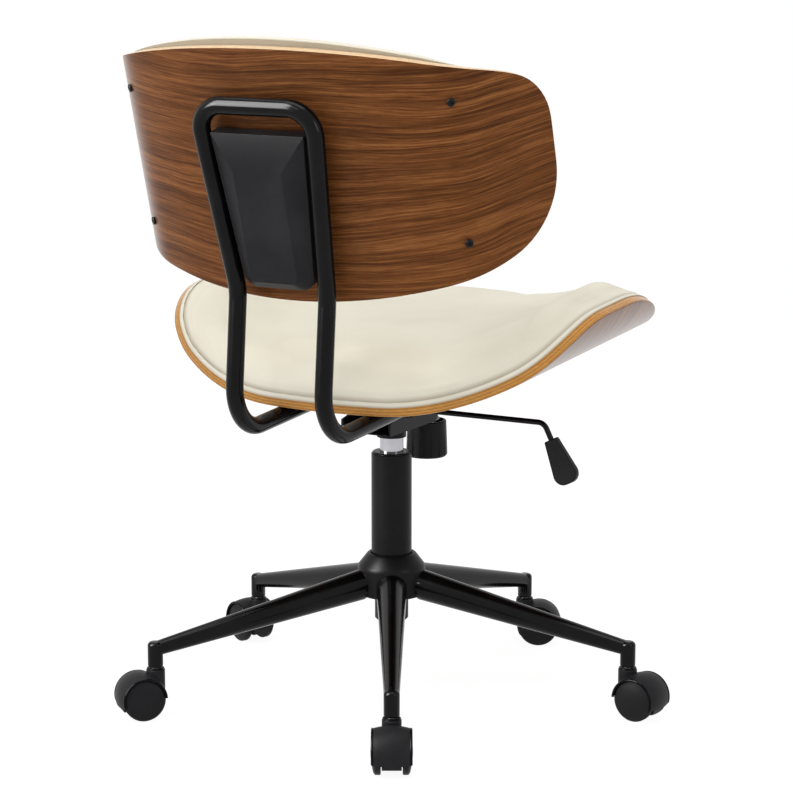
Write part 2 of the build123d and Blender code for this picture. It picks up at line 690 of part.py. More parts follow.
def tilt_housing():
    """Lower channel: stepped floor, side walls with pivot ears, and the column's taper socket."""
    pivot = pivot_point()
    outline = [
        (HOUSING_REAR, HOUSING_FLOOR),
        (HOUSING_REAR, HOUSING_REAR_TOP),
        (pivot.Y + 12, HOUSING_FRONT_TOP),
        (HOUSING_FRONT, HOUSING_FRONT_TOP),
        (HOUSING_FRONT, HOUSING_FRONT_FLOOR),
        (HOUSING_STEP_Y, HOUSING_FRONT_FLOOR),
        (HOUSING_STEP_Y + (HOUSING_FRONT_FLOOR - HOUSING_FLOOR), HOUSING_FLOOR),
    ]
    side = make_face(Plane.YZ * Polyline(*outline, close=True))
    block = extrude(side, amount=HOUSING_HALF, both=True)
    ears = across(pivot, HOUSING_EAR, HOUSING_HALF)
    inner = [
        (HOUSING_REAR + 1, HOUSING_FLOOR + HOUSING_WALL),
        (HOUSING_REAR + 1, HOUSING_FRONT_TOP + 4 * HOUSING_EAR),
        (HOUSING_FRONT - 1, HOUSING_FRONT_TOP + 4 * HOUSING_EAR),
        (HOUSING_FRONT - 1, HOUSING_FRONT_FLOOR + HOUSING_WALL),
        (HOUSING_STEP_Y, HOUSING_FRONT_FLOOR + HOUSING_WALL),
        (HOUSING_STEP_Y + (HOUSING_FRONT_FLOOR - HOUSING_FLOOR), HOUSING_FLOOR + HOUSING_WALL),
    ]
    room_face = make_face(Plane.YZ * Polyline(*inner, close=True))
    room = extrude(room_face, amount=HOUSING_HALF - HOUSING_WALL, both=True)
    channel = block + ears - room
    taper_low = CYLINDER_TOP - TAPER_LENGTH
    socket = ring(CYLINDER_RADIUS + TAPER_SOCKET_WALL, 1, taper_low, CYLINDER_TOP)
    taper = turned(
        [
            (0, taper_low - 1),
            (CYLINDER_RADIUS + RUN_GAP, taper_low - 1),
            (CYLINDER_RADIUS + RUN_GAP, taper_low),
            (CYLINDER_RADIUS - TAPER_DROP + RUN_GAP, CYLINDER_TOP),
            (CYLINDER_RADIUS - TAPER_DROP + RUN_GAP, CYLINDER_TOP + 1),
            (0, CYLINDER_TOP + 1),
        ]
    )
    slot_length = SLOT_FORWARD + SLOT_BACK
    slot = Pos(0, TENSION_Y + (SLOT_BACK - SLOT_FORWARD) / 2, HOUSING_FRONT_FLOOR) * Box(
        2 * ANCHOR_RADIUS + 2, slot_length, 4 * HOUSING_WALL
    )
    window = Pos(-HOUSING_HALF, 0, LEVER_HEIGHT) * Box(
        4 * HOUSING_WALL, 2 * (LEVER_BUSH_HALF + FIT_GAP), 2 * (LEVER_BUSH_RADIUS + FIT_GAP)
    )
    pin_room = across(pivot, PIN_RADIUS, 2 * HOUSING_HALF)
    return channel + socket - taper - slot - window - pin_room


def flange_outer():
    return FLANGE_INNER + PLATE


def seat_plate():
    """Upper channel under the seat: web, two flanges, ears for the pivot pin and the spring's bar."""
    web = extrude(make_face(Polyline((-PLATE_FRONT, 0), (PLATE_REAR, 0), (PLATE_REAR, -PLATE),
                                     (-PLATE_FRONT, -PLATE), close=True)), amount=PLATE_HALF, both=True)
    flange = extrude(make_face(Polyline((-PLATE_FRONT, -PLATE), (FLANGE_REAR, -PLATE),
                                        (FLANGE_REAR - FLANGE_DEPTH, -PLATE - FLANGE_DEPTH),
                                        (-PLATE_FRONT, -PLATE - FLANGE_DEPTH), close=True)),
                     amount=flange_outer(), both=True)
    to_seat = Plane(origin=(0, 0, SEAT_HEIGHT), x_dir=-SEAT_PLANE.z_dir, z_dir=(1, 0, 0)).location
    plate = to_seat * (web + flange)
    between = Pos(0, 0, SEAT_HEIGHT) * Rot(X=-SEAT_PITCH) * Pos(0, 0, -PLATE) * Box(
        2 * FLANGE_INNER, 4 * PLATE_FRONT, 8 * FLANGE_DEPTH, align=(Align.CENTER, Align.CENTER, Align.MAX)
    )
    below_web = Pos(0, 0, SEAT_HEIGHT) * Rot(X=-SEAT_PITCH) * Pos(0, 0, -PLATE) * Box(
        4 * PLATE_HALF, 4 * PLATE_FRONT, 8 * FLANGE_DEPTH, align=(Align.CENTER, Align.CENTER, Align.MAX)
    )
    ears = across(pivot_point(), PIVOT_EAR, flange_outer())
    ears = ears + across(anchor_point(), ANCHOR_EAR, flange_outer())
    plate = plate + (ears & below_web) - between
    plate = plate - across(pivot_point(), PIN_RADIUS + RUN_GAP, 2 * PLATE_HALF)
    plate = plate - across(anchor_point(), ANCHOR_RADIUS + RUN_GAP, 2 * PLATE_HALF)
    for place, _ in bolt_places():
        plate = plate - bolt_hole(place, BOLT_RADIUS + FIT_GAP)
    return plate


def bolt_places():
    """Where bolts go up into the seat: across, back, and how far below the ply their heads sit."""
    places = []
    for side in (-1, 1):
        places += [((side * FRAME_HALF_LOW, back), 2 * TUBE_RADIUS + FACE_GAP) for back in SEAT_BOLT_BACKS]
        places += [((side * PLATE_BOLT_ACROSS, back), PLATE) for back in PLATE_BOLT_BACKS]
    return places


def bolt_hole(place, radius):
    x, back = place
    return cylinder_between(under_seat(x, back, -4 * TUBE_RADIUS), under_seat(x, back, 4 * PLY), radius)


def save_mechanism():
    save(tilt_housing(), "tilt_housing")
    save(seat_plate(), "seat_plate")
    half = flange_outer() + 2 * FACE_GAP
    pin = across(pivot_point(), PIN_RADIUS, half + PIN_HEAD)
    for side in (-1, 1):
        head = across(pivot_point(), PIN_HEAD_RADIUS, PIN_HEAD / 2)
        pin = pin + Pos(side * (half + PIN_HEAD / 2), 0, 0) * head
    save(pin, "pivot_pin")
    anchor = anchor_point()
    bolt = across(anchor, ANCHOR_RADIUS, flange_outer()) + cylinder_between(
        (0, TENSION_Y, KNOB_BOTTOM + TENSION_BOLT_INSET), anchor, BOLT_RADIUS + 2
    )
    save(bolt, "tension_bolt")
    bolts, nuts = [], []
    for (x, back), drop in bolt_places():
        under_head = under_seat(x, back, -drop)
        under_flange = under_seat(x, back, PLY - NUT_FLANGE)
        head = cylinder_between(under_seat(x, back, -drop - BOLT_HEAD), under_head, BOLT_HEAD_RADIUS)
        shank = cylinder_between(under_head, under_flange, BOLT_RADIUS)
        bolts.append(head + shank)
        barrel = cylinder_between(under_seat(x, back, 2), under_flange, NUT_BARREL_RADIUS)
        flange = cylinder_between(under_flange, under_seat(x, back, PLY), NUT_FLANGE_RADIUS)
        nuts.append(barrel + flange - bolt_hole((x, back), BOLT_RADIUS + RUN_GAP))
    save(bolts, "seat_bolts")
    save(nuts, "t_nuts")


def save_tension():
    axis = Pos(0, TENSION_Y, 0)
    knob = turned(
        [
            (BOLT_RADIUS + 2 + RUN_GAP, KNOB_BOTTOM),
            (KNOB_RADIUS - 2, KNOB_BOTTOM),
            (KNOB_RADIUS, KNOB_BOTTOM + 2.5),
            (KNOB_TOP_RADIUS, KNOB_TOP - 1),
            (KNOB_TOP_RADIUS - 1, KNOB_TOP),
            (KNOB_CUP_RADIUS, KNOB_TOP),
            (KNOB_CUP_RADIUS, KNOB_BOTTOM + KNOB_FLOOR),
            (BOLT_RADIUS + 2 + RUN_GAP, KNOB_BOTTOM + KNOB_FLOOR),
        ]
    )
    flute = Pos(KNOB_RADIUS + 0.45 * FLUTE_RADIUS, 0, (KNOB_BOTTOM + KNOB_TOP) / 2) * Cylinder(
        FLUTE_RADIUS, 2 * (KNOB_TOP - KNOB_BOTTOM)
    )
    for index in range(KNOB_FLUTES):
        knob = knob - Rot(Z=index * 360.0 / KNOB_FLUTES) * flute
    save(axis * knob, "tension_knob")
    seat_low = KNOB_BOTTOM + KNOB_FLOOR
    spring_seat = ring(SPRING_SEAT_RADIUS, BOLT_RADIUS + 2 + FACE_GAP, seat_low, seat_low + SPRING_SEAT)
    save(axis * spring_seat, "spring_seat")
    low = seat_low + SPRING_SEAT + SPRING_WIRE + FACE_GAP
    high = HOUSING_FRONT_FLOOR - SPRING_WIRE - FACE_GAP
    pitch = (high - low) / SPRING_TURNS
    gap = pitch - 2 * SPRING_WIRE
    print(f"least gap between the spring's turns: about {gap:.2f} mm")
    stops = [on_helix(index / 4, pitch) for index in range(4 * SPRING_TURNS + 1)]
    arcs = [arc for first, last in zip(stops[:-1], stops[1:]) for arc in biarc(first, last)]
    path = Wire(arcs)
    spring = sweep(Plane(origin=path @ 0, z_dir=path % 0) * Circle(SPRING_WIRE), path=path)
    save(Pos(0, TENSION_Y, low) * spring, "tension_spring")


def on_helix(turns, pitch):
    """Point of the spring's wire after some turns, and the wire's direction there."""
    angle = radians(360 * turns)
    place = Vector(SPRING_RADIUS * cos(angle), SPRING_RADIUS * sin(angle), pitch * turns)
    way = Vector(-SPRING_RADIUS * sin(angle), SPRING_RADIUS * cos(angle), pitch / radians(360))
    return place, way.normalized()


def biarc(first, last):
    """Two arcs that join two points and keep both directions."""
    (start, way_in), (end, way_out) = first, last
    chord = end - start
    spread = 2 * (1 - way_in.dot(way_out))
    lean = chord.dot(way_in + way_out)
    reach = (-lean + (lean**2 + spread * chord.dot(chord)) ** 0.5) / spread
    near, far = start + way_in * reach, end - way_out * reach
    joint = (near + far) * 0.5
    return [TangentArc(start, joint, tangent=way_in), TangentArc(joint, end, tangent=far - near)]


def save_lever():
    down = Vector(-sin(radians(GRIP_LEAN)), 0, -cos(radians(GRIP_LEAN)))
    bend = Vector(LEVER_BEND_X, 0, LEVER_HEIGHT)
    neck = bend + down * GRIP_START
    tip = neck + down * (GRIP_HOLE_DEPTH - 1)
    path = FilletPolyline(Vector(LEVER_INNER_END, 0, LEVER_HEIGHT), bend, tip, radius=LEVER_BEND_RADIUS)
    rod = sweep(Plane(origin=path @ 0, z_dir=path % 0) * Circle(LEVER_RADIUS), path=path)
    save(rod, "lever_rod")
    centre = (-HOUSING_HALF + HOUSING_WALL / 2, 0, LEVER_HEIGHT)
    bush = Pos(*centre) * Rot(X=90) * Cylinder(LEVER_BUSH_RADIUS, 2 * LEVER_BUSH_HALF)
    bore = Pos(*centre) * Rot(Y=90) * Cylinder(LEVER_RADIUS + RUN_GAP, 4 * LEVER_BUSH_RADIUS)
    save(bush - bore, "lever_bush")
    outline = make_face(
        Polyline(
            (-GRIP_NECK_WIDTH / 2, 0),
            (GRIP_NECK_WIDTH / 2, 0),
            (GRIP_END_WIDTH / 2, -GRIP_LENGTH),
            (-GRIP_END_WIDTH / 2, -GRIP_LENGTH),
            close=True,
        )
    )
    outline = fillet(outline.vertices().sort_by(Axis.Y)[:2], GRIP_CORNER)
    outline = fillet(outline.vertices().sort_by(Axis.Y)[-2:], GRIP_EDGE)
    paddle = extrude(outline, amount=GRIP_THICKNESS / 2, both=True)
    paddle = fillet(paddle.edges().filter_by(Axis.Z, reverse=True), GRIP_EDGE)
    paddle = Pos(*neck) * Rot(Y=GRIP_LEAN) * Rot(X=90) * paddle
    hole = cylinder_between(neck - down * 4, neck + down * GRIP_HOLE_DEPTH, LEVER_RADIUS + RUN_GAP)
    save(paddle - hole, "lever_grip")


# Back frame, bracket and cover

def frame_path():
    def half(side):
        kink = behind_back(side * FRAME_HALF_LOW, -FRAME_KINK_DROP, FRAME_KINK_BACK)
        top = behind_back(side * FRAME_HALF_TOP, FRAME_TOP_UP, FRAME_TOP_BACK)
        drop = -TUBE_RADIUS - FACE_GAP
        return [
            under_seat(side * FRAME_HALF_LOW, -FRAME_FRONT, drop),
            under_seat(side * FRAME_HALF_LOW, FRAME_REAR, drop),
            kink,
            top,
        ]
    points = half(1) + half(-1)[::-1]
    bends = [FRAME_LOW_BEND, FRAME_KINK_BEND, FRAME_TOP_BEND]
    return FilletPolyline(*points, radius=bends + bends[::-1])


def frame_solid(radius):
    path = frame_path()
    return sweep(Plane(origin=path @ 0, z_dir=path % 0) * Circle(radius), path=path)


def save_frame():
    tube = frame_solid(TUBE_RADIUS) - frame_solid(TUBE_RADIUS - TUBE_WALL)
    for (x, back), drop in bolt_places():
        if drop > PLATE:
            tube = tube - bolt_hole((x, back), BOLT_RADIUS + FIT_GAP)
    save(tube, "loop_frame")


def back_box(x_half, up_low, up_high, back_low, back_high):
    """Box in the backrest's own directions."""
    corner = behind_back(0, (up_low + up_high) / 2, (back_low + back_high) / 2)
    place = Plane(origin=corner, x_dir=(1, 0, 0), z_dir=BACK_PLANE.z_dir).location
    return place * Box(2 * x_half, back_high - back_low, up_high - up_low)


def upright_half(up):
    """Half the spacing of the uprights at a height on the backrest."""
    share = (up + FRAME_KINK_DROP) / (FRAME_TOP_UP + FRAME_KINK_DROP)
    return FRAME_HALF_LOW + share * (FRAME_HALF_TOP - FRAME_HALF_LOW)


def save_bracket():
    bracket = back_box(BRACKET_HALF, -BRACKET_BOTTOM, BRACKET_TOP, FACE_GAP, FACE_GAP + BRACKET_PLATE)
    for up in RIB_UPS:
        bracket = bracket + back_box(
            upright_half(up),
            up - BRACKET_PLATE / 2,
            up + BRACKET_PLATE / 2,
            2 * FACE_GAP + BACK_PLY / 2,
            RIB_DEPTH,
        )
        low, high = up - BRACKET_PLATE / 2, up + BRACKET_PLATE / 2
        bracket = bracket + back_box(BRACKET_HALF, low, high, FACE_GAP, RIB_DEPTH)
    bracket = bracket - frame_solid(TUBE_RADIUS)
    bolts = []
    for x in (-BRACKET_BOLT_ACROSS, BRACKET_BOLT_ACROSS):
        for up in BRACKET_BOLT_UPS:
            seat_back = FACE_GAP + BRACKET_PLATE
            head_end = behind_back(x, up, seat_back + BOLT_HEAD)
            head = cylinder_between(behind_back(x, up, seat_back), head_end, BOLT_HEAD_RADIUS)
            tip = behind_back(x, up, 1 - BACK_PLY)
            shank = cylinder_between(tip, behind_back(x, up, seat_back), BOLT_RADIUS)
            bolts.append(head + shank)
            bracket = bracket - cylinder_between(
                behind_back(x, up, -1), behind_back(x, up, seat_back + 1), BOLT_RADIUS + FIT_GAP
            )
    save(max(bracket.solids(), key=lambda solid: solid.volume), "back_bracket")
    save(bolts, "bracket_bolts")


def cover_outline(half_top, half_bottom, top, bottom, back, corner):
    plane = Plane(origin=behind_back(0, 0, back), x_dir=(1, 0, 0), z_dir=-BACK_PLANE.y_dir)
    sign = 1.0 if plane.to_local_coords(behind_back(0, 1, back)).Y > 0 else -1.0
    face = make_face(
        Polyline(
            (-half_top, sign * top),
            (half_top, sign * top),
            (half_bottom, -sign * bottom),
            (-half_bottom, -sign * bottom),
            close=True,
        )
    )
    low = face.vertices().sort_by(Axis.Y)
    pair = low[:2] if sign > 0 else low[-2:]
    return plane * fillet(pair, corner)


def cover_solid(inset):
    outer = (COVER_HALF_TOP, COVER_HALF_BOTTOM, COVER_TOP, COVER_BOTTOM)
    sides = [size - inset for size in outer]
    base = cover_outline(*sides, COVER_START - inset / 100, COVER_CORNER - inset)
    rim = cover_outline(*sides, COVER_RIM_BACK - inset / 2, COVER_CORNER - inset)
    face = cover_outline(COVER_FACE_HALF, COVER_FACE_HALF, COVER_FACE_TOP, COVER_FACE_BOTTOM - inset,
                         COVER_FACE_BACK - inset, COVER_CORNER / 2)
    return loft([base, rim], ruled=True) + loft([rim, face], ruled=True)


def save_cover():
    cover = cover_solid(0) - cover_solid(COVER_WALL)
    for up in RIB_UPS:
        low, high = up - BRACKET_PLATE / 2 - FIT_GAP, up + BRACKET_PLATE / 2 + FIT_GAP
        cover = cover - back_box(upright_half(up), low, high, 0, RIB_DEPTH + FIT_GAP)
    save(cover, "back_cover")


# Shells and cushions

def seat_outline():
    return crowned_outline(SEAT_SIDE, SEAT_FRONT, SEAT_FRONT_RADIUS, SEAT_FRONT_CORNER,
                           SEAT_REAR, SEAT_REAR_RADIUS, SEAT_REAR_CORNER)


def back_outline():
    return crowned_outline(BACK_SIDE, BACK_TOP, BACK_TOP_RADIUS, BACK_TOP_CORNER,
                           BACK_BOTTOM, BACK_BOTTOM_RADIUS, BACK_BOTTOM_CORNER)


def shell(bend, outline, side, low, high, ply):
    block = bend.layer(side + 6, 0, ply, low - 10, high + 10)
    return trim_to_rim(block, bend, rim_points(outline, 0), -ply, 2 * ply)


def cushion(bend, outline, side, low, high, ply, edge, crown, lean):
    """Crowned pad on the hollow face of a shell: thin at the rim, full in the middle."""
    deep = edge + crown + 20
    block = bend.layer(side + 6, ply, ply + deep, low - 10, high + 10)
    rim = rim_points(outline, -PAD_INSET)
    block = trim_to_rim(block, bend, rim, ply - edge, ply + deep + edge)
    skirt = bent_loop(bend, rim_points(outline, PAD_INSET), ply + 0.6 * edge)
    middle = ((low + high) / 2) + lean
    tops = []
    for ring_share in (0.0, 0.45, 0.8):
        for step in range(1 if ring_share == 0 else 10):
            target = rim[int(step * RIM_SAMPLES / 10)] if ring_share else Vector(0, middle)
            along = ring_share * target.X
            up = middle + ring_share * (target.Y - middle)
            rise = ply + edge + crown * (1 - ring_share**2.4)
            tops.append((*bend.point(along, rise), up))
    top = Face.make_surface(Wire(skirt.edges()), surface_points=tops)
    return piece_at(block.split(top, keep=Keep.ALL), (*bend.point(0, ply + edge / 2), middle))


def save_shells():
    seat = shell(SEAT_BEND, seat_outline(), SEAT_SIDE, -SEAT_REAR, SEAT_FRONT, PLY)
    seat = SEAT_PLANE.location * seat
    for place, _ in bolt_places():
        seat = seat - bolt_hole(place, NUT_BARREL_RADIUS + RUN_GAP)
        seat = seat - cylinder_between(
            under_seat(*place, PLY - NUT_FLANGE), under_seat(*place, 2 * PLY), NUT_FLANGE_RADIUS + RUN_GAP
        )
    save(seat, "seat_shell")
    pad = cushion(
        SEAT_BEND,
        seat_outline(),
        SEAT_SIDE,
        -SEAT_REAR,
        SEAT_FRONT,
        PLY,
        SEAT_PAD_EDGE,
        SEAT_PAD_CROWN,
        SEAT_PAD_LEAN,
    )
    save(SEAT_PLANE.location * pad, "seat_pad")
    back = shell(BACK_BEND, back_outline(), BACK_SIDE, -BACK_BOTTOM, BACK_TOP, BACK_PLY)
    back = BACK_PLANE.location * back
    for x in (-BRACKET_BOLT_ACROSS, BRACKET_BOLT_ACROSS):
        for up in BRACKET_BOLT_UPS:
            hole_end = behind_back(x, up, BACK_PLY)
            back = back - cylinder_between(behind_back(x, up, -BACK_PLY), hole_end, BOLT_RADIUS + FIT_GAP)
    screws = []
    for along in (-BACK_SCREW_ALONG, BACK_SCREW_ALONG):
        for up in (-BACK_SCREW_UP, BACK_SCREW_UP):
            def at(depth):
                x, rise = BACK_BEND.point(along, depth)
                return BACK_PLANE.from_local_coords(Vector(x, rise, up))
            head = cylinder_between(at(-SCREW_HEAD), at(-FACE_GAP), SCREW_HEAD_RADIUS)
            shank = cylinder_between(at(-FACE_GAP), at(BACK_PLY - 1), SCREW_SHANK)
            screws.append(head + shank)
            back = back - cylinder_between(at(-1), at(BACK_PLY + 1), SCREW_SHANK + RUN_GAP)
    save(back, "back_shell")
    save(screws, "back_screws")
    pad = cushion(
        BACK_BEND,
        back_outline(),
        BACK_SIDE,
        -BACK_BOTTOM,
        BACK_TOP,
        BACK_PLY,
        BACK_PAD_EDGE,
        BACK_PAD_CROWN,
        0,
    )
    save(BACK_PLANE.location * pad, "back_pad")


os.makedirs("parts", exist_ok=True)
save_casters()
save_base()
save_rod()
save_cylinder()
save_mechanism()
save_tension()
save_lever()
save_frame()
save_bracket()
save_cover()
save_shells()
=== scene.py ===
# %% [markdown]
# # An office chair, dressed for the camera
# The chair's solids come from CAD and are loaded as a fixed frame: what turns, slides and tilts is settled
# there. This lesson gives them their looks. Soft and bent pieces are modelled again, because a cushion or a
# veneered shell needs more than its solid, and every other piece gets a finish made from nodes.

# %% Load the frame
import json
from contextlib import contextmanager
from math import atan2, cos, pi, radians, sin

import bpy
import numpy as np
from mathutils import Matrix, Vector

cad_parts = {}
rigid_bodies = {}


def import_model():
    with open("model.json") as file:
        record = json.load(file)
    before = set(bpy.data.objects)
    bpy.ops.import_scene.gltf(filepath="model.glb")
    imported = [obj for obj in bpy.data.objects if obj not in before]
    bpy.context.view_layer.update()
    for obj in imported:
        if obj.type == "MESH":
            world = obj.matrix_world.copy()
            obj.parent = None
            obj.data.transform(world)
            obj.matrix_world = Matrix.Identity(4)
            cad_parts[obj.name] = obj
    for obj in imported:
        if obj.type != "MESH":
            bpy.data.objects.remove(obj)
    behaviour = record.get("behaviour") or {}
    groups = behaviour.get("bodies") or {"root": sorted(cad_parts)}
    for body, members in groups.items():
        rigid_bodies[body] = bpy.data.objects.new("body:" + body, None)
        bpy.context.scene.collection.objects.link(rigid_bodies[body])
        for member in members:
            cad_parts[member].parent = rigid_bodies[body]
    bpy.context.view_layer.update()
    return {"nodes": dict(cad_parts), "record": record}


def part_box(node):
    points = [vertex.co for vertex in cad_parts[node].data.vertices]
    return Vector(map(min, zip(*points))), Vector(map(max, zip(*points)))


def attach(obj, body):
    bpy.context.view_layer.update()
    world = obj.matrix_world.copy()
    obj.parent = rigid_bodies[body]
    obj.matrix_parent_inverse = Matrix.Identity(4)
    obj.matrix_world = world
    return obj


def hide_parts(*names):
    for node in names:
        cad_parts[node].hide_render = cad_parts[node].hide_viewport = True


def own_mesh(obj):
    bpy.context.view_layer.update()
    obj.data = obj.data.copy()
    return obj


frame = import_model()

# %% [markdown]
# ## Camera
# The photograph was taken from behind the chair's right, a little above it, with a long lens. A camera can
# be set by eye, but here its place was solved from the five feet of the base, so the lens and the direction
# are plain numbers. Standard view colours keep a colour as it is written.

# %% Camera
PHOTO_SIZE = 793
LENS_PIXELS = 2850.0
CAMERA_PLACE = Vector((-1.602, 2.891, 0.981))
CAMERA_TURN = radians(29.0)
CAMERA_YAW = radians(0.109)
CAMERA_PITCH = radians(10.58)


def add_camera():
    data = bpy.data.cameras.new("Camera")
    data.sensor_fit = "HORIZONTAL"
    data.angle = 2 * atan2(PHOTO_SIZE / 2, LENS_PIXELS)
    camera = bpy.data.objects.new("Camera", data)
    bpy.context.scene.collection.objects.link(camera)
    across = sin(CAMERA_YAW) * cos(CAMERA_PITCH)
    ahead = cos(CAMERA_YAW) * cos(CAMERA_PITCH)
    look = Vector((
        -across * cos(CAMERA_TURN) + ahead * sin(CAMERA_TURN),
        -across * sin(CAMERA_TURN) - ahead * cos(CAMERA_TURN),
        -sin(CAMERA_PITCH),
    ))
    camera.location = CAMERA_PLACE
    camera.rotation_euler = look.to_track_quat("-Z", "Y").to_euler()
    bpy.context.scene.camera = camera


add_camera()
bpy.context.scene.view_settings.view_transform = "Standard"
print("camera at", tuple(round(level, 3) for level in CAMERA_PLACE))

# %% [markdown]
# ## Shader maths as plain expressions
# A material is a network of nodes. Written by hand, each sum is three lines of code, so one small class
# wraps a socket and lets Python's own operators add the Math nodes. A second class holds a material and has
# one method for any other node.

# %% Sockets that add up
def srgb(red, green, blue):
    """Colour as a screen shows it, 0 to 255, as the linear colour that a shader takes."""
    def linear(level):
        level /= 255.0
        return level / 12.92 if level <= 0.04045 else ((level + 0.055) / 1.055) ** 2.4
    return (linear(red), linear(green), linear(blue), 1.0)


class Value:
    """One output socket, with the operators that shader sums need."""

    def __init__(self, finish, socket):
        self.finish = finish
        self.socket = socket

    def _math(self, operation, first, second):
        return self.finish.node("ShaderNodeMath", {"operation": operation}, {0: first, 1: second})

    def __add__(self, other):
        return self._math("ADD", self, other)

    def __radd__(self, other):
        return self._math("ADD", other, self)

    def __sub__(self, other):
        return self._math("SUBTRACT", self, other)

    def __rsub__(self, other):
        return self._math("SUBTRACT", other, self)

    def __mul__(self, other):
        return self._math("MULTIPLY", self, other)

    def __rmul__(self, other):
        return self._math("MULTIPLY", other, self)

    def above(self, low, high):
        """0 under low, 1 over high, and a smooth step between."""
        return self.finish.node(
            "ShaderNodeMapRange",
            {"interpolation_type": "SMOOTHSTEP"},
            {"Value": self, "From Min": low, "From Max": high},
        )


class Finish:
    """A material with its main shader, and one method that adds any node."""

    def __init__(self, name):
        self.material = bpy.data.materials.new(name)
        self.material.use_nodes = True
        self.tree = self.material.node_tree
        self.shader = self.tree.nodes["Principled BSDF"]

    def feed(self, socket, value):
        if isinstance(value, Value):
            self.tree.links.new(value.socket, socket)
        else:
            socket.default_value = value

    def node(self, kind, settings=None, inputs=None, output=0):
        node = self.tree.nodes.new(kind)
        for name, setting in (settings or {}).items():
            if name == "stops":
                self.set_stops(node, setting)
            else:
                setattr(node, name, setting)
        for name, value in (inputs or {}).items():
            self.feed(node.inputs[name], value)
        return Value(self, node.outputs[output])

    def set_stops(self, node, stops):
        elements = node.color_ramp.elements
        while len(elements) < len(stops):
            elements.new(0.5)
        for element, (position, colour) in zip(elements, stops):
            element.position = position
            element.color = colour

    def shade(self, **inputs):
        for name, value in inputs.items():
            self.feed(self.shader.inputs[name.replace("_", " ")], value)

    def mix(self, share, first, second):
        return self.node(
            "ShaderNodeMix",
            {"data_type": "RGBA"},
            {0: share, 6: first, 7: second},
            output=2,
        )

    def place(self):
        return self.node("ShaderNodeTexCoord", output="Object")

    def noise(self, where, scale, detail=2.0, rough=0.5):
        return self.node(
            "ShaderNodeTexNoise",
            inputs={"Vector": where, "Scale": scale, "Detail": detail, "Roughness": rough},
        )

    def stretch(self, where, scale):
        """The same place, measured with another ruler along each axis."""
        return self.node("ShaderNodeMapping", inputs={"Vector": where, "Scale": scale})

    def bump(self, height, strength, depth):
        return self.node("ShaderNodeBump", inputs={"Height": height, "Strength": strength, "Distance": depth})


print("operators:", ", ".join(name for name in vars(Value) if name.startswith("__r")))

# %% [markdown]
# ## Walnut veneer on ply
# The shells are pressed from thin sheets of wood with a walnut sheet on each face. The grain runs across
# the chair and bends with the shell. A pattern in space would cut through the bend, so this one reads a UV
# map that holds the flat sheet's own measures, in metres. Stretched noises at several scales make bands,
# lines and pores. The cut edge shows the layers: there the colour follows the depth in the sheet, which the
# mesh carries as an attribute. Seen aslant, the lacquer shines more, so its coat grows with the angle.

# %% Walnut ply
FLAT_MAP = "flat"
DEPTH = "ply_depth"
RIM = "ply_rim"
PLY_LAYERS = 7
SEAT_SHEET = 0.012
BACK_SHEET = 0.011
VENEER_LIGHT = srgb(147, 94, 52)
VENEER_MID = srgb(113, 67, 33)
VENEER_DARK = srgb(76, 42, 18)
SEAT_EDGE = (srgb(202, 150, 82), srgb(158, 102, 46))
BACK_EDGE = (srgb(232, 205, 168), srgb(200, 160, 112))
# Waves per metre: along the grain, across it and through the sheet.
DRIFT, RIPPLE = (2.4, 4.5, 1.0), (11.0, 22.0, 1.0)
BANDS, LINES, STREAKS = (1.2, 46.0, 1.0), (2.6, 165.0, 1.0), (14.0, 520.0, 1.0)
FIBRES, PORES = (45.0, 1300.0, 1.0), (80.0, 1100.0, 1.0)
END_GRAIN = (160.0, 160.0, 900.0)
DRIFT_REACH, RIPPLE_REACH = 0.06, 0.006


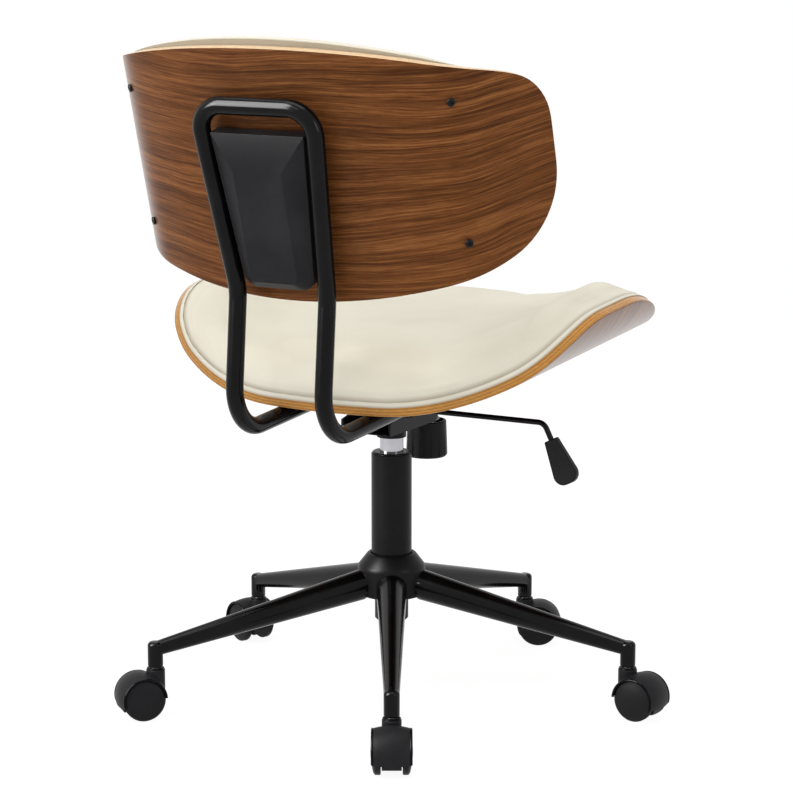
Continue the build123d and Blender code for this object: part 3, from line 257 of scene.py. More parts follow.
def walnut(name, sheet, edge_colours):
    finish = Finish(name)
    flat = finish.node("ShaderNodeUVMap", {"uv_map": FLAT_MAP})
    drift = finish.noise(finish.stretch(flat, DRIFT), 1.0, 1.0)
    ripple = finish.noise(finish.stretch(flat, RIPPLE), 1.0, 1.0)
    waver = (drift - 0.5) * DRIFT_REACH + (ripple - 0.5) * RIPPLE_REACH
    sag = finish.node("ShaderNodeCombineXYZ", inputs={"Y": waver})
    wavy = finish.node("ShaderNodeVectorMath", {"operation": "ADD"}, {0: flat, 1: sag})
    bands = finish.noise(finish.stretch(wavy, BANDS), 1.0, 2.0, 0.5)
    lines = finish.noise(finish.stretch(wavy, LINES), 1.0, 3.0, 0.6)
    streaks = finish.noise(finish.stretch(wavy, STREAKS), 1.0, 2.0, 0.6)
    fibres = finish.noise(finish.stretch(wavy, FIBRES), 1.0, 2.0, 0.6)
    pores = finish.noise(finish.stretch(wavy, PORES), 1.0, 1.0)
    tone = bands * 0.18 + lines * 0.34 + streaks * 0.32 + fibres * 0.16
    colour = finish.node(
        "ShaderNodeValToRGB",
        {"stops": [(0.41, VENEER_DARK), (0.5, VENEER_MID), (0.59, VENEER_LIGHT)]},
        {"Fac": tone},
    )
    shadows = lines.above(0.42, 0.34) * 0.15 + pores.above(0.58, 0.68) * 0.35
    veneer = finish.mix(shadows, colour, VENEER_DARK)
    depth = finish.node("ShaderNodeAttribute", {"attribute_name": DEPTH}, output="Fac")
    count = depth * (PLY_LAYERS / sheet)
    layer = finish.node("ShaderNodeMath", {"operation": "PINGPONG"}, {0: count, 1: 1.0})
    end_grain = finish.noise(finish.stretch(finish.place(), END_GRAIN), 1.0, 2.0)
    cross = layer.above(0.35, 0.65) * 0.45 + end_grain.above(0.3, 0.7) * 0.35
    edge = finish.mix(cross, *edge_colours)
    rim = finish.node("ShaderNodeAttribute", {"attribute_name": RIM}, output="Fac")
    grain_bump = finish.bump(fibres * 0.5 + pores * 0.5, 0.1, 0.0003)
    aslant = finish.node("ShaderNodeLayerWeight", inputs={"Blend": 0.5}, output="Facing")
    finish.shade(
        Base_Color=finish.mix(rim, veneer, edge),
        Roughness=0.3 + fibres * 0.14 + rim * 0.15,
        Normal=grain_bump,
        Coat_Weight=aslant.above(0.38, 0.92),
        Coat_Roughness=0.3,
        Specular_IOR_Level=0.06,
        Sheen_Weight=0.12,
        Sheen_Roughness=0.3,
    )
    return finish.material


FINISHES = {
    "walnut_seat": walnut("walnut_seat", SEAT_SHEET, SEAT_EDGE),
    "walnut_back": walnut("walnut_back", BACK_SHEET, BACK_EDGE),
}
print("walnut nodes:", len(FINISHES["walnut_seat"].node_tree.nodes))

# %% [markdown]
# ## Cream leather
# Coated upholstery leather has a fine pebble grain about a millimetre across, broad and faint changes of
# tone where it is stretched, and a soft shine. The grain could be modelled, but at this size bump is
# enough, and the tone is colour. Along the seam's groove and along the cushion's foot on the ply, which the
# mesh marks with an attribute, the leather has painted shade: a darker colour in place of the shadow there.

# %% Cream leather
# Painted shade: an attribute marks the seam's groove and the cushion's foot on the ply, and there the leather
# is mixed towards a darker colour.
PAINTED_SHADE_ATTRIBUTE = "seam_line"
LEATHER = srgb(226, 221, 205)
LEATHER_SHADE = srgb(215, 208, 190)
PAINTED_SHADE_COLOUR = srgb(146, 130, 104)
PEBBLES, CREASES, CLOUDS = 820.0, 260.0, 9.0


def cream_leather():
    finish = Finish("cream_leather")
    place = finish.place()
    pebble = finish.node(
        "ShaderNodeTexVoronoi",
        {"feature": "DISTANCE_TO_EDGE"},
        {"Vector": place, "Scale": PEBBLES, "Randomness": 0.9},
        output="Distance",
    )
    crease = finish.noise(place, CREASES, 3.0, 0.6)
    cloud = finish.noise(place, CLOUDS, 2.0)
    valley = pebble.above(0.12, 0.0)
    tone = cloud.above(0.35, 0.7) * 0.55 + valley * 0.3
    grain = finish.bump(pebble.above(0.0, 0.18) * 0.7 + crease * 0.5, 0.22, 0.0005)
    # Painted shade: darker in the seam's groove and where the cushion meets the ply.
    seam = finish.node("ShaderNodeAttribute", {"attribute_name": PAINTED_SHADE_ATTRIBUTE}, output="Fac")
    panel = finish.mix(tone, LEATHER, LEATHER_SHADE)
    finish.shade(
        Base_Color=finish.mix(seam.above(0.35, 1.0) * 0.55, panel, PAINTED_SHADE_COLOUR),
        Roughness=0.46 + crease * 0.16,
        Normal=grain,
        Sheen_Weight=0.08,
        Sheen_Roughness=0.4,
        Specular_IOR_Level=0.16,
    )
    return finish.material


FINISHES["cream_leather"] = cream_leather()
print("leather nodes:", len(FINISHES["cream_leather"].node_tree.nodes))

# %% [markdown]
# ## Paint, plastic and steel
# The tubes are powder coated: black, glossy, with the faint ripple of baked powder. Moulded pieces have a
# spark-eroded grain. Wear shows as slightly smoother or duller patches, so every roughness has its own slow
# noise. One function makes them all, because they differ only in colour, shine and the size of the ripple.

# %% Paint, plastic and steel
ROUGH_SPREAD = 0.1
PATCH_SCALE = 14.0
RIPPLE_DEPTH = 0.0004
DULL_GAIN, DULL_LIFT = 1.35, 0.002


def coated(name, colour, rough, ripple_scale, ripple, metallic=0.0, shine=0.25):
    """Paint, moulded plastic or plated metal: one colour with its own ripple and patches of shine."""
    finish = Finish(name)
    place = finish.place()
    ripple_noise = finish.noise(place, ripple_scale, 2.0)
    patches = finish.noise(place, PATCH_SCALE, 3.0, 0.6)
    duller = tuple(min(1.0, level * DULL_GAIN + DULL_LIFT) for level in colour[:3]) + (1.0,)
    finish.shade(
        Base_Color=finish.mix(patches.above(0.4, 0.75), colour, duller),
        Roughness=(rough - ROUGH_SPREAD / 2) + patches * ROUGH_SPREAD,
        Normal=finish.bump(ripple_noise, ripple, RIPPLE_DEPTH),
        Metallic=metallic,
        Specular_IOR_Level=shine,
    )
    FINISHES[name] = finish.material


coated("black_powder", srgb(6, 6, 7), rough=0.18, ripple_scale=420.0, ripple=0.04, shine=0.13)
coated("column_paint", srgb(18, 18, 19), rough=0.36, ripple_scale=520.0, ripple=0.08, shine=0.1)
coated("bright_steel", srgb(172, 172, 176), rough=0.14, ripple_scale=300.0, ripple=0.02, metallic=1.0)
coated("plain_steel", srgb(150, 150, 152), rough=0.36, ripple_scale=500.0, ripple=0.05, metallic=1.0)
coated("dark_screw", srgb(26, 25, 25), rough=0.38, ripple_scale=700.0, ripple=0.05, metallic=0.6)
coated("cover_plastic", srgb(33, 33, 35), rough=0.4, ripple_scale=1500.0, ripple=0.14, shine=0.08)
coated("caster_plastic", srgb(32, 32, 34), rough=0.46, ripple_scale=1400.0, ripple=0.12, shine=0.08)
coated("wheel_plastic", srgb(29, 29, 31), rough=0.46, ripple_scale=1400.0, ripple=0.12, shine=0.08)
coated("knob_plastic", srgb(22, 22, 23), rough=0.4, ripple_scale=1400.0, ripple=0.12, shine=0.1)
coated("bush_plastic", srgb(20, 20, 21), rough=0.32, ripple_scale=1200.0, ripple=0.1, shine=0.12)
coated("gloss_trim", srgb(2, 2, 3), rough=0.1, ripple_scale=900.0, ripple=0.03, shine=0.08)
coated("bump_rubber", srgb(16, 16, 16), rough=0.7, ripple_scale=900.0, ripple=0.15, shine=0.15)
print("finishes:", ", ".join(FINISHES))

# %% [markdown]
# ## Bending a flat sheet
# Both shells are flat blanks pressed over a form: flat or gently bowed in the middle, then a tighter bend,
# then a straight wing. A lattice could bend them too, but a rule in numbers works both ways. Unrolling the
# CAD shell gives the blank's outline, and bending gives any piece that was modelled flat its place on the
# chair.

# %% The press
class Form:
    """Section of the press: half flat, bowl and wing radii, and where the bowl and the wing's bend end."""

    def __init__(self, flat, bowl, bowl_end, wing, wing_angle, origin, up, out):
        self.flat, self.bowl, self.bowl_end, self.wing = flat, bowl, bowl_end, wing
        self.bowl_angle = (bowl_end - flat) / bowl
        self.wing_angle = radians(wing_angle)
        self.wing_end = bowl_end + wing * (self.wing_angle - self.bowl_angle)
        self.wing_x = flat + (bowl - wing) * sin(self.bowl_angle)
        self.wing_y = bowl - (bowl - wing) * cos(self.bowl_angle)
        self.origin, self.up, self.out = np.array(origin), np.array(up), np.array(out)

    def bend(self, along, high, depth):
        """Flat sheet measures to points of the chair."""
        side = np.where(along < 0, -1.0, 1.0)
        along = np.abs(along)
        bowl = np.clip((along - self.flat) / self.bowl, 0, self.bowl_angle)
        wing = np.clip((along - self.bowl_end) / self.wing, 0, self.wing_angle - self.bowl_angle)
        slope = bowl + wing
        tail = np.maximum(along - self.wing_end, 0)
        x = np.minimum(along, self.flat) + self.bowl * np.sin(bowl)
        x = x + self.wing * (np.sin(slope) - np.sin(bowl)) + tail * np.cos(slope) - depth * np.sin(slope)
        rise = self.bowl * (1 - np.cos(bowl)) + self.wing * (np.cos(bowl) - np.cos(slope))
        rise = rise + tail * np.sin(slope) + depth * np.cos(slope)
        points = self.origin + np.outer(rise, self.out) + np.outer(high, self.up)
        points[:, 0] += side * x
        return points

    def unroll(self, points):
        """Points of the chair to flat sheet measures: along, high, depth."""
        from_origin = points - self.origin
        x, rise, high = np.abs(points[:, 0]), from_origin @ self.out, from_origin @ self.up
        bowl = np.arctan2(x - self.flat, self.bowl - rise)
        wing = np.arctan2(x - self.wing_x, self.wing_y - rise)
        along = np.where(x <= self.flat, x, self.flat + self.bowl * bowl)
        depth = np.where(x <= self.flat, rise, self.bowl - np.hypot(x - self.flat, self.bowl - rise))
        bent = (x > self.flat) & (bowl > self.bowl_angle)
        along = np.where(bent, self.bowl_end + self.wing * (wing - self.bowl_angle), along)
        depth = np.where(bent, self.wing - np.hypot(x - self.wing_x, self.wing_y - rise), depth)
        straight = bent & (wing > self.wing_angle)
        run = np.array([cos(self.wing_angle), sin(self.wing_angle)])
        end = np.array([self.wing_x, self.wing_y]) + self.wing * np.array([run[1], -run[0]])
        offset = np.stack([x, rise], 1) - end
        along = np.where(straight, self.wing_end + offset @ run, along)
        depth = np.where(straight, offset @ np.array([-run[1], run[0]]), depth)
        return np.sign(points[:, 0]) * along, high, depth


def tilted(degrees):
    return cos(radians(degrees)), sin(radians(degrees))


SEAT_PITCH = tilted(3.65)
BACK_LEAN = tilted(15.73)
SEAT_FORM = Form(
    flat=0.070, bowl=0.321, bowl_end=0.219, wing=0.127, wing_angle=66.5, origin=(0, 0, 0.3832),
    up=(0, -SEAT_PITCH[0], SEAT_PITCH[1]), out=(0, SEAT_PITCH[1], SEAT_PITCH[0]),
)
BACK_FORM = Form(
    flat=0.001, bowl=0.450, bowl_end=0.185, wing=0.095, wing_angle=61.5, origin=(0, 0.263, 0.6445),
    up=(0, BACK_LEAN[1], BACK_LEAN[0]), out=(0, -BACK_LEAN[0], BACK_LEAN[1]),
)
print("seat wing ends at", round(SEAT_FORM.wing_end, 3), "back wing ends at", round(BACK_FORM.wing_end, 3))

# %% [markdown]
# ## Outlines of the blanks
# The CAD shell already has the right outline, only bent. Its points are unrolled, and the outermost ones
# are joined and divided into even steps. The seat's front corners are then drawn in a little more, to end
# where the wing ends in the photograph.

# %% Outlines
def mesh_points(obj):
    flat = np.empty(len(obj.data.vertices) * 3)
    obj.data.vertices.foreach_get("co", flat)
    return flat.reshape(-1, 3)


def put_points(obj, points):
    obj.data.vertices.foreach_set("co", np.ascontiguousarray(points).ravel())
    obj.data.update()


def hull(points):
    """Convex outline of flat points, anticlockwise."""
    def turns_left(first, second, third):
        across, up = second[0] - first[0], second[1] - first[1]
        return across * (third[1] - second[1]) > up * (third[0] - second[0])

    ordered = sorted(map(tuple, np.round(points, 6)))
    chains = []
    for run in (ordered, ordered[::-1]):
        chain = []
        for point in run:
            while len(chain) > 1 and not turns_left(chain[-2], chain[-1], point):
                chain.pop()
            chain.append(point)
        chains.append(chain[:-1])
    return np.array(chains[0] + chains[1])


OUTLINE_POINTS = 200


def blank_outline(node, form):
    """Even points round the flat blank of a CAD shell."""
    along, high, _ = form.unroll(mesh_points(frame["nodes"][node]))
    corners = hull(np.stack([along, high], 1))
    closed = np.vstack([corners, corners[:1]])
    reach = np.concatenate([[0], np.cumsum(np.linalg.norm(np.diff(closed, axis=0), axis=1))])
    stops = np.linspace(0, reach[-1], OUTLINE_POINTS, endpoint=False)
    return np.stack([np.interp(stops, reach, closed[:, axis]) for axis in (0, 1)], 1)


FRONT_CORNER = 0.208


def round_front(outline, radius):
    """Outline with its two front corners drawn in to a rounder arc."""
    side, front = np.abs(outline[:, 0]).max(), outline[:, 1].max()
    from_centre = np.stack([np.abs(outline[:, 0]) - (side - radius), outline[:, 1] - (front - radius)], 1)
    reach = np.linalg.norm(from_centre, axis=1)
    outside = (from_centre > 0).all(axis=1) & (reach > radius)
    drawn = from_centre * (radius / np.maximum(reach, radius))[:, None]
    along = np.sign(outline[:, 0]) * (side - radius + drawn[:, 0])
    rounder = np.stack([along, front - radius + drawn[:, 1]], 1)
    return np.where(outside[:, None], rounder, outline)


SEAT_BLANK = round_front(blank_outline("seat_shell", SEAT_FORM), FRONT_CORNER)
BACK_BLANK = blank_outline("back_shell", BACK_FORM)
print("seat blank", np.ptp(SEAT_BLANK, axis=0).round(3), "back blank", np.ptp(BACK_BLANK, axis=0).round(3))

# %% [markdown]
# ## Cutting a blank
# A blank starts as a circle that is pulled to the outline, then filled towards its middle: first with
# insets of an even width, then with rings that shrink. A grid would be quicker to make, but rings that
# follow the rim give good quads for a bevel, a seam or a crown.

# %% A blank from a circle
def only(obj):
    bpy.ops.object.select_all(action="DESELECT")
    obj.select_set(True)
    bpy.context.view_layer.objects.active = obj


@contextmanager
def editing(obj):
    """Edit mode on one piece, with all of it selected."""
    only(obj)
    bpy.ops.object.mode_set(mode="EDIT")
    bpy.ops.mesh.select_all(action="SELECT")
    yield
    bpy.ops.object.mode_set(mode="OBJECT")


def inward(outline, distance):
    """Outline moved inwards by a distance."""
    ahead = np.roll(outline, -1, axis=0) - np.roll(outline, 1, axis=0)
    ahead /= np.linalg.norm(ahead, axis=1)[:, None]
    return outline + distance * np.stack([-ahead[:, 1], ahead[:, 0]], 1)


START_RADIUS = 0.2


def cut_blank(name, outline, insets, rings):
    """Flat sheet: rings at even insets from the rim, then rings that shrink to the middle."""
    bpy.ops.object.select_all(action="DESELECT")
    bpy.ops.mesh.primitive_circle_add(vertices=len(outline), radius=START_RADIUS, fill_type="NOTHING")
    blank = bpy.context.active_object
    blank.name = name
    put_points(blank, np.column_stack([outline, np.zeros(len(outline))]))
    with editing(blank):
        for _ in range(len(insets) + rings):
            bpy.ops.mesh.extrude_edges_move()
        bpy.ops.mesh.edge_face_add()
        bpy.ops.mesh.poke()
    count = len(outline)
    points = mesh_points(blank)
    middle = outline.mean(axis=0)
    inner = inward(outline, insets[-1])
    shares = np.linspace(1, 0, rings + 2)[1:-1]
    loops = [outline] + [inward(outline, step) for step in insets]
    loops += [middle + share * (inner - middle) for share in shares]
    for index, loop in enumerate(loops):
        rows = points[index * count:(index + 1) * count]
        nearest = ((rows[:, None, :2] - outline[None]) ** 2).sum(axis=2).argmin(axis=1)
        rows[:, :2] = loop[nearest]
    points[len(loops) * count:, :2] = middle
    put_points(blank, points)
    return blank


def apply_modifier(obj, kind, **settings):
    only(obj)
    modifier = obj.modifiers.new(kind.title(), kind)
    for name, value in settings.items():
        setattr(modifier, name, value)
    bpy.ops.object.modifier_apply(modifier=modifier.name)


def face_out(obj):
    with editing(obj):
        bpy.ops.mesh.normals_make_consistent(inside=False)


def smooth(obj, angle=radians(35)):
    only(obj)
    bpy.ops.object.shade_smooth_by_angle(angle=angle)


def give(obj, finish):
    obj.data.materials.clear()
    obj.data.materials.append(FINISHES[finish])


print("a blank starts as a ring of", OUTLINE_POINTS, "points")

# %% [markdown]
# ## The two shells
# A pressed shell is one sheet of even thickness with slightly eased edges. It could be thickened after
# bending, but the flat sheet is the easier place to note each point for the veneer. So the order is a
# workshop's: cut, thicken, ease the edges, mark, then bend.

# %% Seat and back shells
EDGE_EASE = 0.0009
SHELL_INSETS = (0.004, 0.010)
SHELL_RINGS = 26
RIM_FACING = 0.6


def press_shell(name, node, outline, form, sheet, finish):
    shell = cut_blank(name, outline, SHELL_INSETS, SHELL_RINGS)
    face_out(shell)
    if shell.data.polygons[0].normal.z > 0:
        with editing(shell):
            bpy.ops.mesh.flip_normals()
    apply_modifier(shell, "SOLIDIFY", thickness=sheet, offset=-1.0, use_even_offset=False)
    apply_modifier(shell, "BEVEL", width=EDGE_EASE, segments=2, limit_method="ANGLE", angle_limit=radians(50))
    points = mesh_points(shell)
    levels = points[:, 2] - points[:, 2].min()
    mesh = shell.data
    layer = mesh.uv_layers.new(name=FLAT_MAP)
    corner_points = np.empty(len(mesh.loops), dtype=np.int32)
    mesh.loops.foreach_get("vertex_index", corner_points)
    layer.data.foreach_set("uv", np.ascontiguousarray(points[corner_points, :2]).ravel())
    depth = mesh.attributes.new(DEPTH, "FLOAT", "POINT")
    depth.data.foreach_set("value", levels)
    rim = mesh.attributes.new(RIM, "FLOAT", "FACE")
    rim.data.foreach_set("value", [float(abs(face.normal.z) < RIM_FACING) for face in mesh.polygons])
    put_points(shell, form.bend(points[:, 0], points[:, 1], levels))
    face_out(shell)
    smooth(shell, radians(40))
    give(shell, finish)
    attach(shell, "seat")
    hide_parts(node)
    print(name, len(mesh.polygons), "faces")


press_shell("seat_ply", "seat_shell", SEAT_BLANK, SEAT_FORM, SEAT_SHEET, "walnut_seat")
press_shell("back_ply", "back_shell", BACK_BLANK, BACK_FORM, BACK_SHEET, "walnut_back")

# %% [markdown]
# ## Section of a cushion
# Each cushion is leather over foam on the hollow face of its shell. A narrow border strip stands round the
# rim, a sewn seam divides it from the panel, and the foam rises over a round shoulder to a crowned middle.
# The section could be drawn as a curve. A rule in numbers lets the same one serve both cushions.

# %% Cushion section
STRIP_ROUND = 0.0022
SEAM_WIDTH, SEAM_DEPTH = 0.0009, 0.0009
SEAM_SIDE = 0.0008
RIM_RINGS = (0.0004, 0.001, 0.0018)
PANEL_RINGS = (0.002, 0.0035, 0.0055, 0.008, 0.011, 0.015, 0.02)
FRONT_START, FRONT_END = -0.08, 0.22


class Pad:
    """Section of a cushion: a border strip, a rounded shoulder inside the seam and a crowned middle."""

    def __init__(self, inset, strip, strip_height, shoulder, run, crown, spread, swell, front=0.0, lip=0.0):
        self.inset, self.strip, self.strip_height = inset, strip, strip_height
        self.shoulder, self.run, self.crown, self.spread = shoulder, run, crown, spread
        self.swell, self.front, self.lip = swell, front, lip

    def insets(self):
        seam_rings = (self.strip - SEAM_SIDE, self.strip, self.strip + SEAM_SIDE)
        return RIM_RINGS + seam_rings + tuple(self.strip + step for step in PANEL_RINGS)

    def height(self, distance, high):
        """Thickness before the swell, at a distance from the cushion's rim and a height on the sheet."""
        wall = 1 - np.clip(distance / STRIP_ROUND, 0, 1)
        inside = np.maximum(distance - self.strip, 0)
        corner = 1 - np.clip(inside / self.run, 0, 1)
        groove = SEAM_DEPTH * np.exp(-((distance - self.strip) / SEAM_WIDTH) ** 2)
        rise = self.strip_height * np.sqrt(1 - wall**2) + self.shoulder * np.sqrt(1 - corner**2)
        ahead = np.clip((high - FRONT_START) / (FRONT_END - FRONT_START), 0, 1)
        crown = self.crown + self.front * ahead**2 * (3 - 2 * ahead)
        return rise + crown * (1 - np.exp(-inside / self.spread)) - groove


def rim_distance(points, outline):
    """Shortest way from flat points to the outline."""
    start, run = outline, np.roll(outline, -1, axis=0) - outline
    length = (run ** 2).sum(axis=1)
    best = np.full(len(points), np.inf)
    for origin, step, square in zip(start, run, length):
        share = np.clip(((points - origin) @ step) / square, 0, 1)
        best = np.minimum(best, np.linalg.norm(points - origin - share[:, None] * step, axis=1))
    return best


print("seam", SEAM_WIDTH * 1000, "mm wide,", SEAM_DEPTH * 1000, "mm deep")

# %% [markdown] ## Swelling Foam presses the leather out between its seams. The panel is simulated as
# cloth: what is sewn stays, and pressure from inside swells the rest. Pressure alone would blow a
# balloon, so each point's way is capped softly.

# %% Swell
PRESSURE = 4.0
SWELL_FRAMES = 20


def swell(cushion, free, limit):
    """Cloth under pressure: the sewn points stay, the free ones move up to the limit."""
    start = mesh_points(cushion)
    sewn = cushion.vertex_groups.new(name="sewn")
    sewn.add(np.flatnonzero(~free).tolist(), 1.0, "REPLACE")
    only(cushion)
    cloth = cushion.modifiers.new("Cloth", "CLOTH")
    cloth.settings.vertex_group_mass = "sewn"
    cloth.settings.use_pressure = True
    cloth.settings.uniform_pressure_force = PRESSURE
    cloth.settings.effector_weights.gravity = 0.0
    for number in range(1, SWELL_FRAMES + 1):
        bpy.context.scene.frame_set(number)
    bpy.ops.object.modifier_apply(modifier=cloth.name)
    bpy.context.scene.frame_set(1)
    moved = mesh_points(cushion) - start
    reach = np.maximum(np.linalg.norm(moved, axis=1), 1e-9)
    print(cushion.name, "swells by up to", round(reach.max() * 1000, 1), "mm before its limit")
    put_points(cushion, start + moved * (limit * np.tanh(reach / limit) / reach)[:, None])


print("cloth pressure", PRESSURE, "over", SWELL_FRAMES, "frames")

# %% [markdown]
# ## The two cushions
# A blank is cut to the shell's outline, thickened to the section and bent onto the shell. The seat's border
# strip hangs a little over the ply, and the back's stands over the top of its shell, as in the photograph.
# The seam's groove and the cushion's foot on the ply are kept as an attribute, for the painted shade on the
# leather.

# %% Cushions
PAD_GAP = 0.0002
PAD_SKIN = 0.001
PAD_MERGE = 0.00005
PAD_RINGS = 28
LIP_WIDTH = 0.0006
# Width of the painted shade along the seam's groove.
PAINTED_SEAM_SHADE_WIDTH = 0.0006
SEWN_MARGIN = 0.0012
PANEL_FLOOR = 0.002


def make_cushion(name, node, outline, form, sheet, pad):
    rim = inward(outline, pad.inset)
    cushion = cut_blank(name, rim, pad.insets(), PAD_RINGS)
    face_out(cushion)
    points = mesh_points(cushion)
    distance = rim_distance(points[:, :2], rim)
    thickness = pad.height(distance, points[:, 1])
    apply_modifier(cushion, "SOLIDIFY", thickness=PAD_SKIN, offset=0.0, use_even_offset=False)
    points = mesh_points(cushion)
    heights = np.where(points[:, 2] > 0, np.tile(thickness, 2), 0.0)
    heights[np.tile(distance < LIP_WIDTH, 2) & (heights < LIP_WIDTH)] = -pad.lip
    put_points(cushion, form.bend(points[:, 0], points[:, 1], sheet + PAD_GAP + heights))
    with editing(cushion):
        bpy.ops.mesh.remove_doubles(threshold=PAD_MERGE)
    face_out(cushion)
    along, high, depth = form.unroll(mesh_points(cushion))
    inside = rim_distance(np.stack([along, high], 1), rim) - pad.strip
    panel = depth > sheet + PANEL_FLOOR
    free = (inside > SEWN_MARGIN) & panel
    swell(cushion, free, pad.swell)
    smooth(cushion, radians(75))
    # Painted shade for the leather: full at the cushion's foot on the ply, and a narrow peak along the seam's
    # groove.
    line = cushion.data.attributes.new(PAINTED_SHADE_ATTRIBUTE, "FLOAT", "POINT")
    line.data.foreach_set("value", np.where(panel, np.exp(-(inside / PAINTED_SEAM_SHADE_WIDTH) ** 2), 1.0))
    give(cushion, "cream_leather")
    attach(cushion, "seat")
    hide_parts(node)
    print(name, len(cushion.data.polygons), "faces")


def overhang(outline, base, most, half):
    """Inset that lets a pad stand a little over the top of its shell, most in the middle."""
    ahead = np.roll(outline, -1, axis=0) - np.roll(outline, 1, axis=0)
    upward = np.clip(ahead[:, 0] / -np.linalg.norm(ahead, axis=1), 0, 1)
    middle = np.clip(1 - (outline[:, 0] / half) ** 2, 0, 1)
    return (base - most * upward**2 * middle)[:, None]


SEAT_PAD = Pad(
    inset=-0.0006, strip=0.0022, strip_height=0.0045, shoulder=0.042, run=0.034,
    crown=0.002, spread=0.055, swell=0.006, front=0.006, lip=0.002,
)
BACK_PAD = Pad(
    inset=overhang(BACK_BLANK, base=0.003, most=0.0095, half=0.27), strip=0.003, strip_height=0.015,
    shoulder=0.009, run=0.008, crown=0.006, spread=0.05, swell=0.004,
)
make_cushion("seat_cushion", "seat_pad", SEAT_BLANK, SEAT_FORM, SEAT_SHEET, SEAT_PAD)
make_cushion("back_cushion", "back_pad", BACK_BLANK, BACK_FORM, BACK_SHEET, BACK_PAD)

# %% [markdown]
# ## The pieces that keep their CAD shape
# Turned and bent metal and moulded plastic are right as they are. A CAD mesh is loose triangles, which
# shade in facets, so each piece gets a copy with merged points, flat faces made whole and weighted normals.
# Curved faces then shade smoothly and edges stay crisp. A few moulded pieces also have their edges eased.

# %% Smooth copies
SLOTS = {entry["node"]: entry["material_slot"] for entry in frame["record"]["subparts"]}
BODIES = {node: body for body, nodes in frame["record"]["behaviour"]["bodies"].items() for node in nodes}
CASTERS = range(1, 6)
CAD_MERGE = 0.000005
FLAT_ENOUGH = radians(0.5)
EASED = {"back_cover": 0.0011, "lever_grip": 0.0008, "guide_bush": 0.0005, "tension_knob": 0.0006}
EASED.update({f"caster_{number}_hood": 0.0006 for number in CASTERS})
REMADE = ("seat_shell", "back_shell", "seat_pad", "back_pad", "back_screws", "base_hub")


def wear(piece, node, finish):
    """Finish a piece, and let it move with the body of a CAD node."""
    give(piece, finish)
    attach(piece, BODIES[node])


def smooth_copy(node):
    source = frame["nodes"][node]
    copy = bpy.data.objects.new(node + "_dressed", source.data.copy())
    bpy.context.scene.collection.objects.link(copy)
    with editing(copy):
        bpy.ops.mesh.remove_doubles(threshold=CAD_MERGE)
        bpy.ops.mesh.dissolve_limited(angle_limit=FLAT_ENOUGH)
    if node in EASED:
        ease = EASED[node]
        apply_modifier(copy, "BEVEL", width=ease, segments=2, limit_method="ANGLE", angle_limit=radians(24))
    smooth(copy, radians(30))
    apply_modifier(copy, "WEIGHTED_NORMAL", keep_sharp=True)
    wear(copy, node, SLOTS[node])
    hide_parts(node)
    return copy


dressed = [smooth_copy(node) for node in frame["nodes"] if node not in REMADE]
print("smooth copies:", len(dressed))

# %% [markdown]
# ## The tilt spring
# The spring stands on the knob's bolt and is pressed against the housing when the seat tilts back. A rigid
# spring would pass into the housing. So its copy is made a little shorter, pressed towards its foot, which
# leaves room for the knob's own travel.

# %% Tilt spring
KNOB_ROOM = 0.0023


def fit_spring():
    spring = bpy.data.objects["tension_spring_dressed"]
    low, high = (Vector(corner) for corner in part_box("tension_spring"))
    length = high.z - low.z
    points = mesh_points(spring)
    points[:, 2] = low.z + (points[:, 2] - low.z) * (1 - KNOB_ROOM / length)
    put_points(spring, points)
    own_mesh(spring)


fit_spring()

# %% [markdown]
# ## The hub
# The hub is a turned casting: a straight skirt, a sloping shoulder and a low lip round the column. It could
# be spun from a profile. Here a circle is extruded once for each point of the section, and each new ring is
# then scaled and lifted into place, which leaves no seam to close.

# %% Hub
SKIRT = [(0.0240, 0.1252), (0.0375, 0.1252), (0.0385, 0.1262), (0.0404, 0.1560)]
SHOULDER = [(0.0401, 0.1595), (0.0388, 0.1622), (0.0295, 0.1742), (0.0280, 0.1755)]
LIP_AND_BORE = [(0.0264, 0.1758), (0.0252, 0.1750), (0.0246, 0.1730), (0.0244, 0.1500), (0.0240, 0.1252)]
HUB_SECTION = SKIRT + SHOULDER + LIP_AND_BORE
HUB_MERGE = 0.00001


def turned(name, section, sides=72):
    bpy.ops.object.select_all(action="DESELECT")
    bpy.ops.mesh.primitive_circle_add(vertices=sides, radius=1.0, fill_type="NOTHING")
    piece = bpy.context.active_object
    piece.name = name
    with editing(piece):
        for _ in section[1:]:
            bpy.ops.mesh.extrude_edges_move()
    points = mesh_points(piece)
    for index, (radius, height) in enumerate(section):
        ring = points[index * sides:(index + 1) * sides]
        ring[:, :2] *= radius
        ring[:, 2] = height
    put_points(piece, points)
    with editing(piece):
        bpy.ops.mesh.remove_doubles(threshold=HUB_MERGE)
    face_out(piece)
    smooth(piece, radians(38))
    return piece


hub = turned("hub", HUB_SECTION)
wear(hub, "base_hub", "column_paint")
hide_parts("base_hub")
print("hub:", len(hub.data.polygons), "faces")

# %% [markdown]
# ## Screws on the backrest
# Four small screws hold the back cushion from behind. One is modelled upright at the origin: a low head
# with an eased rim, a six-sided socket cut into it and a shank. Four copies are turned to stand on the
# shell's rear face, where the sheet's own bend gives the place and the direction.

# %% Backrest screws
SCREW_ALONG, SCREW_UP = 0.211, 0.080
SCREW_HEAD_RADIUS, SCREW_HEAD, HEAD_EASE = 0.0046, 0.0026, 0.0011
SOCKET_RADIUS, SOCKET_FLOOR = 0.0022, 0.0011
SHANK_RADIUS, SHANK_END, SHANK_TOP = 0.0024, -0.0095, 0.0002
HEAD_GAP, HEAD_AIM = 0.0001, 0.01


